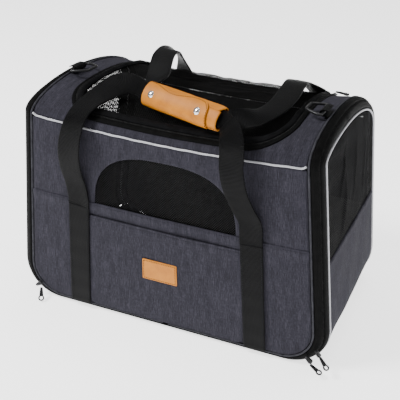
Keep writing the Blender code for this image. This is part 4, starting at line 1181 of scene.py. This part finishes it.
def make_handle(name, left, right, sign, y_sign):
    """A webbing loop from one sewn strap, through the wrap, to the other."""
    _, along, wide, normal = wrap_frame()
    inside = [tuple(WRAP_LEFT + (WRAP_RIGHT - WRAP_LEFT) * t + normal * 0.0016 * sign) + tuple(wide * sign)
              for t in (0.0, 0.5, 1.0)]
    foot = [tuple(strap_centre(z, -1, y_sign)) + (-1, 0, 0) for z in (STRAP_TOP_Z, 0.168)]
    end_foot = [tuple(strap_centre(z, 1, y_sign)) + (1, 0, 0) for z in (0.168, STRAP_TOP_Z)]
    stops = foot + [c + tuple(Vector(w).normalized()) for c, w in left] + inside
    stops += [c + tuple(Vector(w).normalized()) for c, w in right] + end_foot
    path = catmull(stops, 10)
    length = (WRAP_RIGHT - WRAP_LEFT).length
    off = path[:, :3] - np.array(WRAP_LEFT)
    t = off @ np.array(along) / length
    far = np.linalg.norm(off - t[:, None] * length * np.array(along), axis=1)
    gathered = np.clip(1 - np.clip(np.maximum(-t, t - 1), 0, None) / GATHER_RUN, 0, 1) * np.clip(
        1 - far / GATHER_REACH, 0, 1)
    narrow = 1 - (1 - 2 * GATHER_HALF_W / STRAP_W) * np.clip(1.5 * gathered, 0, 1)
    handle = ribbon(name, path[:, :3], path[:, 3:], WEBBING, cup=0.0006, narrow=narrow)
    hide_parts(name.replace("_loop", "_webbing"))
    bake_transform(handle)


def wrap_points(t, angle, rise=0.0):
    """Points on the wrap: t along it, angle 0 at its face, 90 at its upper edge."""
    centre, along, wide, normal = (np.array(v) for v in wrap_frame())
    length = (WRAP_RIGHT - WRAP_LEFT).length
    t, angle = np.broadcast_arrays(np.asarray(t, float), np.radians(np.asarray(angle, float)))
    near_end = np.clip(np.minimum(t, 1 - t) / 0.10, 0.0, 1.0)
    half_w = WRAP_HALF_W * (0.95 + 0.05 * np.sqrt(near_end)) + rise
    half_t = WRAP_HALF_T * (1.0 + 0.03 * np.sin(t * 9.0)) + rise
    # A squarer section than an ellipse, as a flat hide bent round two straps takes.
    power = 0.97
    c, s = np.cos(angle), np.sin(angle)
    c, s = np.sign(c) * np.abs(c) ** power, np.sign(s) * np.abs(s) ** power
    return (centre + along * ((t - 0.5) * length)[..., None] + wide * (half_w * s)[..., None]
            + normal * (half_t * c)[..., None])


def make_wrap():
    stops = np.array(((0.00, 64.0), (0.05, 62.0), (0.12, 58.0), (0.22, 44.0), (0.32, 34.0), (0.42, 34.0),
                      (0.55, 46.0), (0.66, 56.0), (0.74, 54.0), (0.80, 42.0), (0.85, 15.0), (0.87, -30.0),
                      (0.88, -60.0)))
    curve = catmull(stops, 6)
    t = curve[:, 0]
    top = curve[:, 1]
    bottom = -98.0
    f = np.linspace(0.0, 1.0, 40)
    angle = bottom + (top[:, None] - bottom) * f[None, :]
    tt = np.broadcast_to(t[:, None], angle.shape)
    edge = np.minimum((1 - f[None, :]) * (top[:, None] - bottom) / 5.0, 1.0)
    rise = 0.0006 * edge ** 0.5 + 0.0006 + 0.00015 * ripple(tt * 0.12, angle * 0.0003, 71, 0.03)
    flap = grid("handle_wrap_flap_leather", wrap_points(tt, angle, rise), tt * 0.122, angle * 0.00026, LEATHER,
                away=wrap_frame()[0])
    thicken(flap, 0.0015)
    place(flap, "front_handle", "leather", "handle_wrap_flap")
    seam = wrap_points(t, top - 12.0, 0.0014)
    above = wrap_points(t, top - 12.0, 0.0100) - seam
    place(stitches("wrap_flap_stitches", seam, above, THREAD_TAN, pitch=0.0030, length=0.0019, radius=0.0003),
          "front_handle", "leather")

    # Thinner leather under the flap, so that nothing shows between it and the webbing.
    tt, aa = np.meshgrid(np.linspace(0.02, 0.995, 46), np.linspace(-98.0, 26.0, 30), indexing="ij")
    under = grid("handle_wrap_under_leather", wrap_points(tt, aa, -0.0011), tt * 0.122, aa * 0.00026, LEATHER,
                 away=wrap_frame()[0])
    thicken(under, 0.0010)
    place(under, "front_handle", "leather")

    tt, aa = np.meshgrid(np.linspace(0.0, 1.0, 50), np.linspace(28.0, 258.0, 72), indexing="ij")
    tt = tt * (1.0 - 0.05 * np.clip((70.0 - aa) / 60.0, 0, 1))
    under = -0.0012 * np.clip((80.0 - aa) / 20.0, 0, 1)
    rise = under + 0.00015 * ripple(tt * 0.12, aa * 0.0003, 73, 0.03)
    back = grid("handle_wrap_back_leather", wrap_points(tt, aa, rise), tt * 0.122, aa * 0.00026, LEATHER,
                away=wrap_frame()[0])
    thicken(back, 0.0015)
    place(back, "rear_handle", "leather", "handle_wrap_back")

    _, along, wide, normal = wrap_frame()
    profile = ((0.0, 0.0021), (0.0013, 0.00205), (0.0025, 0.0018), (0.0035, 0.0012), (0.0041, 0.0005),
               (0.0043, 0.0000), (0.0047, -0.0002), (0.0049, -0.0007))
    for name in ("left_snap_cap", "right_snap_cap"):
        low, high = (Vector(c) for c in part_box(name))
        at = (low + high) / 2 + normal * 0.0002
        turn = np.linspace(0.0, 2 * math.pi, 37)
        rows = [[at + wide * (r * math.cos(a)) + along * (r * math.sin(a)) + normal * h for a in turn]
                for r, h in profile]
        cap = grid(name + "_dome", np.array(rows), np.zeros((1, 37)), np.zeros((len(profile), 1)), CHROME,
                   away=tuple(at - normal), weld=True)
        place(cap, "front_handle", "chrome", name)


# ---------------------------------------------------------------- rings, sliders and pulls
def seat(piece, centre, euler):
    """Turns a piece about its own origin and moves it to its place."""
    rotation = np.array(Matrix.Rotation(euler[2], 3, "Z") @ Matrix.Rotation(euler[1], 3, "Y")
                        @ Matrix.Rotation(euler[0], 3, "X"))
    for v in piece.data.vertices:
        v.co = Vector(np.asarray(v.co) @ rotation.T + np.array(centre))


RING_X, RING_Y, RING_Z, RING_WIRE = 0.1635, -0.040, 0.3018, 0.0017


def make_rings():
    for side, end in (("left", -1), ("right", 1)):
        turn = [(0.0062, -0.0040), (0.0040, -0.0037), (0.0018, -0.0036)]
        turn += [(0.0036 * math.sin(a), -0.0036 * math.cos(a)) for a in np.radians(np.linspace(-12.0, -168.0, 12))]
        turn += [(0.0018, 0.0036), (0.0040, 0.0034), (0.0062, 0.0026)]
        centres = np.array([(end * (RING_X + x), RING_Y, RING_Z + z) for x, z in turn])
        tab = ribbon(side + "_d_ring_tab_webbing", centres, (0.0, 1.0, 0.0), WEBBING, width=0.0230, thick=0.0013)
        place(tab, "carrier_body", "webbing", side + "_d_ring_tab")
        ring = [(0.0, -0.0120), (0.0, -0.0150), (-0.0012, -0.0172), (-0.0035, -0.0180), (-0.0080, -0.0170),
                (-0.0170, -0.0122), (-0.0200, -0.0098), (-0.0206, -0.0070), (-0.0206, 0.0070), (-0.0200, 0.0098),
                (-0.0170, 0.0122), (-0.0080, 0.0170), (-0.0035, 0.0180), (-0.0012, 0.0172), (0.0, 0.0150),
                (0.0, 0.0120), (0.0, 0.0)]
        dense = catmull([ring[-1]] + ring, 6)[:-1]
        path = np.stack([end * (RING_X + dense[:, 0]), RING_Y + dense[:, 1], RING_Z - 0.08 * dense[:, 0]], 1)
        wire = tube(side + "_d_ring_wire", path, RING_WIRE, BLACK_METAL, closed=True, sides=12)
        place(wire, side + "_d_ring_body", "black_metal", side + "_d_ring")


def plate(name, outline, low, high, paint, bevel=0.0004, hole=None):
    """A flat plate with rounded edges from an outline, with an optional round hole."""
    curve = bpy.data.curves.new(name, "CURVE")
    curve.dimensions, curve.fill_mode = "2D", "BOTH"
    curve.extrude = (high - low) / 2
    for points in [outline] + ([hole] if hole is not None else []):
        spline = curve.splines.new("POLY")
        spline.points.add(len(points) - 1)
        for target, (x, y) in zip(spline.points, points):
            target.co = (x, y, 0.0, 1.0)
        spline.use_cyclic_u = True
    holder = bpy.data.objects.new(name, curve)
    bpy.context.scene.collection.objects.link(holder)
    bpy.context.view_layer.update()
    mesh = bpy.data.meshes.new_from_object(holder.evaluated_get(bpy.context.evaluated_depsgraph_get()))
    bpy.data.objects.remove(holder, do_unlink=True)
    bm = bmesh.new()
    bm.from_mesh(mesh)
    bmesh.ops.remove_doubles(bm, verts=bm.verts, dist=1e-6)
    for v in bm.verts:
        v.co.z += (low + high) / 2
    edges = [e for e in bm.edges if e.is_manifold and e.calc_face_angle(0) > 0.9]
    if bevel:
        bmesh.ops.bevel(bm, geom=edges, offset=bevel, segments=2, affect="EDGES", profile=0.6)
    bmesh.ops.recalc_face_normals(bm, faces=bm.faces)
    bm.to_mesh(mesh)
    bm.free()
    mesh.materials.clear()
    return link(name, mesh, paint, smooth=False)


def circle(x, y, r, count=28, start=0.0, sweep=360.0):
    return [(x + r * math.cos(a), y + r * math.sin(a))
            for a in np.radians(np.linspace(start, start + sweep, count, endpoint=sweep < 360.0))]


def euler(x, y, z):
    return math.radians(x), math.radians(y), math.radians(z)


SLIDERS = (
    ("left_zip_slider", (-0.1905, -0.1282, 0.0185), euler(90, -35, 0)),
    ("right_zip_slider", (0.2058, -0.1262, 0.0262), euler(90, 62, 45)),
    ("right_zip_slider_low", (0.1958, -0.1282, 0.0150), euler(90, 40, 0)),
    ("top_zip_slider", (0.1340, 0.1145, 0.2672), euler(34, 18, 155)),
)
PULLS = (
    ("left_zip_pull", (-0.1850, -0.1315, 0.0150), euler(0, 46, -62)),
    ("right_zip_pull", (0.2092, -0.1268, 0.0218), euler(0, 27, -36)),
    ("right_zip_pull_low", (0.1995, -0.1318, 0.0112), euler(0, 12, -25)),
    ("top_zip_pull", (0.1370, 0.1115, 0.2735), euler(0, 4, 0)),
)


def make_hardware():
    for name, centre, turn in SLIDERS:
        outline = circle(0.0026, 0.0, 0.0030, 12, -90.0, 180.0) + circle(-0.0036, 0.0, 0.0020, 10, 90.0, 180.0)
        pieces = [plate(name + "_part", outline, low, high, BLACK_METAL, 0.0003)
                  for low, high in ((-0.0017, -0.0007), (0.0007, 0.0017))]
        pieces.append(plate(name + "_part", circle(0.0022, 0.0, 0.0012, 14), -0.0008, 0.0008, BLACK_METAL, 0.0))
        arch = np.array([(-0.0034 + 0.0068 * t, 0.0, 0.0014 + 0.0017 * math.sin(math.pi * t) ** 0.6)
                         for t in np.linspace(0.0, 1.0, 14)])
        pieces.append(tube(name + "_part", arch, 0.0006, BLACK_METAL, sides=8))
        body = join(name + "_body", pieces)
        seat(body, centre, turn)
        place(body, "carrier_body", "black_metal", name)
    for name, centre, turn in PULLS:
        eye = 0.0143
        tab = [(0.0, -0.0016), (0.005, -0.0021), (0.0095, -0.0026)]
        tab += circle(eye, 0.0, 0.0040, 26, -140.0, 280.0)
        tab += [(0.0095, 0.0026), (0.005, 0.0021), (0.0, 0.0016), (-0.0006, 0.0)]
        pieces = [plate(name + "_part", tab, -0.0009, 0.0009, BLACK_METAL, 0.0003,
                        hole=circle(eye, 0.0, 0.0023, 24)[::-1])]
        rim = np.array([(eye + 0.0029 * math.cos(a), 0.0029 * math.sin(a), 0.0)
                        for a in np.linspace(0.0, 2 * math.pi, 33)[:-1]])
        pieces.append(tube(name + "_part", rim, 0.0008, NICKEL, closed=True, sides=10))
        grip = [(0.0035, -0.0012), (0.0090, -0.0017), (0.0090, 0.0017), (0.0035, 0.0012)]
        pieces.append(plate(name + "_part", grip, 0.0007, 0.0013, BLACK_METAL, 0.0002))
        pull = join(name + "_tab", pieces)
        seat(pull, centre, turn)
        place(pull, name + "_body", "black_metal", name)


# ---------------------------------------------------------------- solids that keep their shape
def paint_kept():
    for name, paint in (("base_board", BOARD), ("left_frame_hoop", STEEL), ("right_frame_hoop", STEEL)):
        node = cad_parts[name]
        node = bpy.data.objects[node] if isinstance(node, str) else node
        for i in range(len(node.material_slots)):
            node.material_slots[i].material = paint


make_stage()
make_base()
make_front()
make_pocket()
make_patch()
make_straps()
make_back()
make_top()
make_top_piping()
make_end("left", -1)
make_end("right", 1)
make_handle("front_handle_loop", FRONT_LEFT, FRONT_RIGHT, 1, -1)
make_handle("rear_handle_loop", REAR_LEFT, REAR_RIGHT, -1, 1)
make_wrap()
make_rings()
make_hardware()
paint_kept()
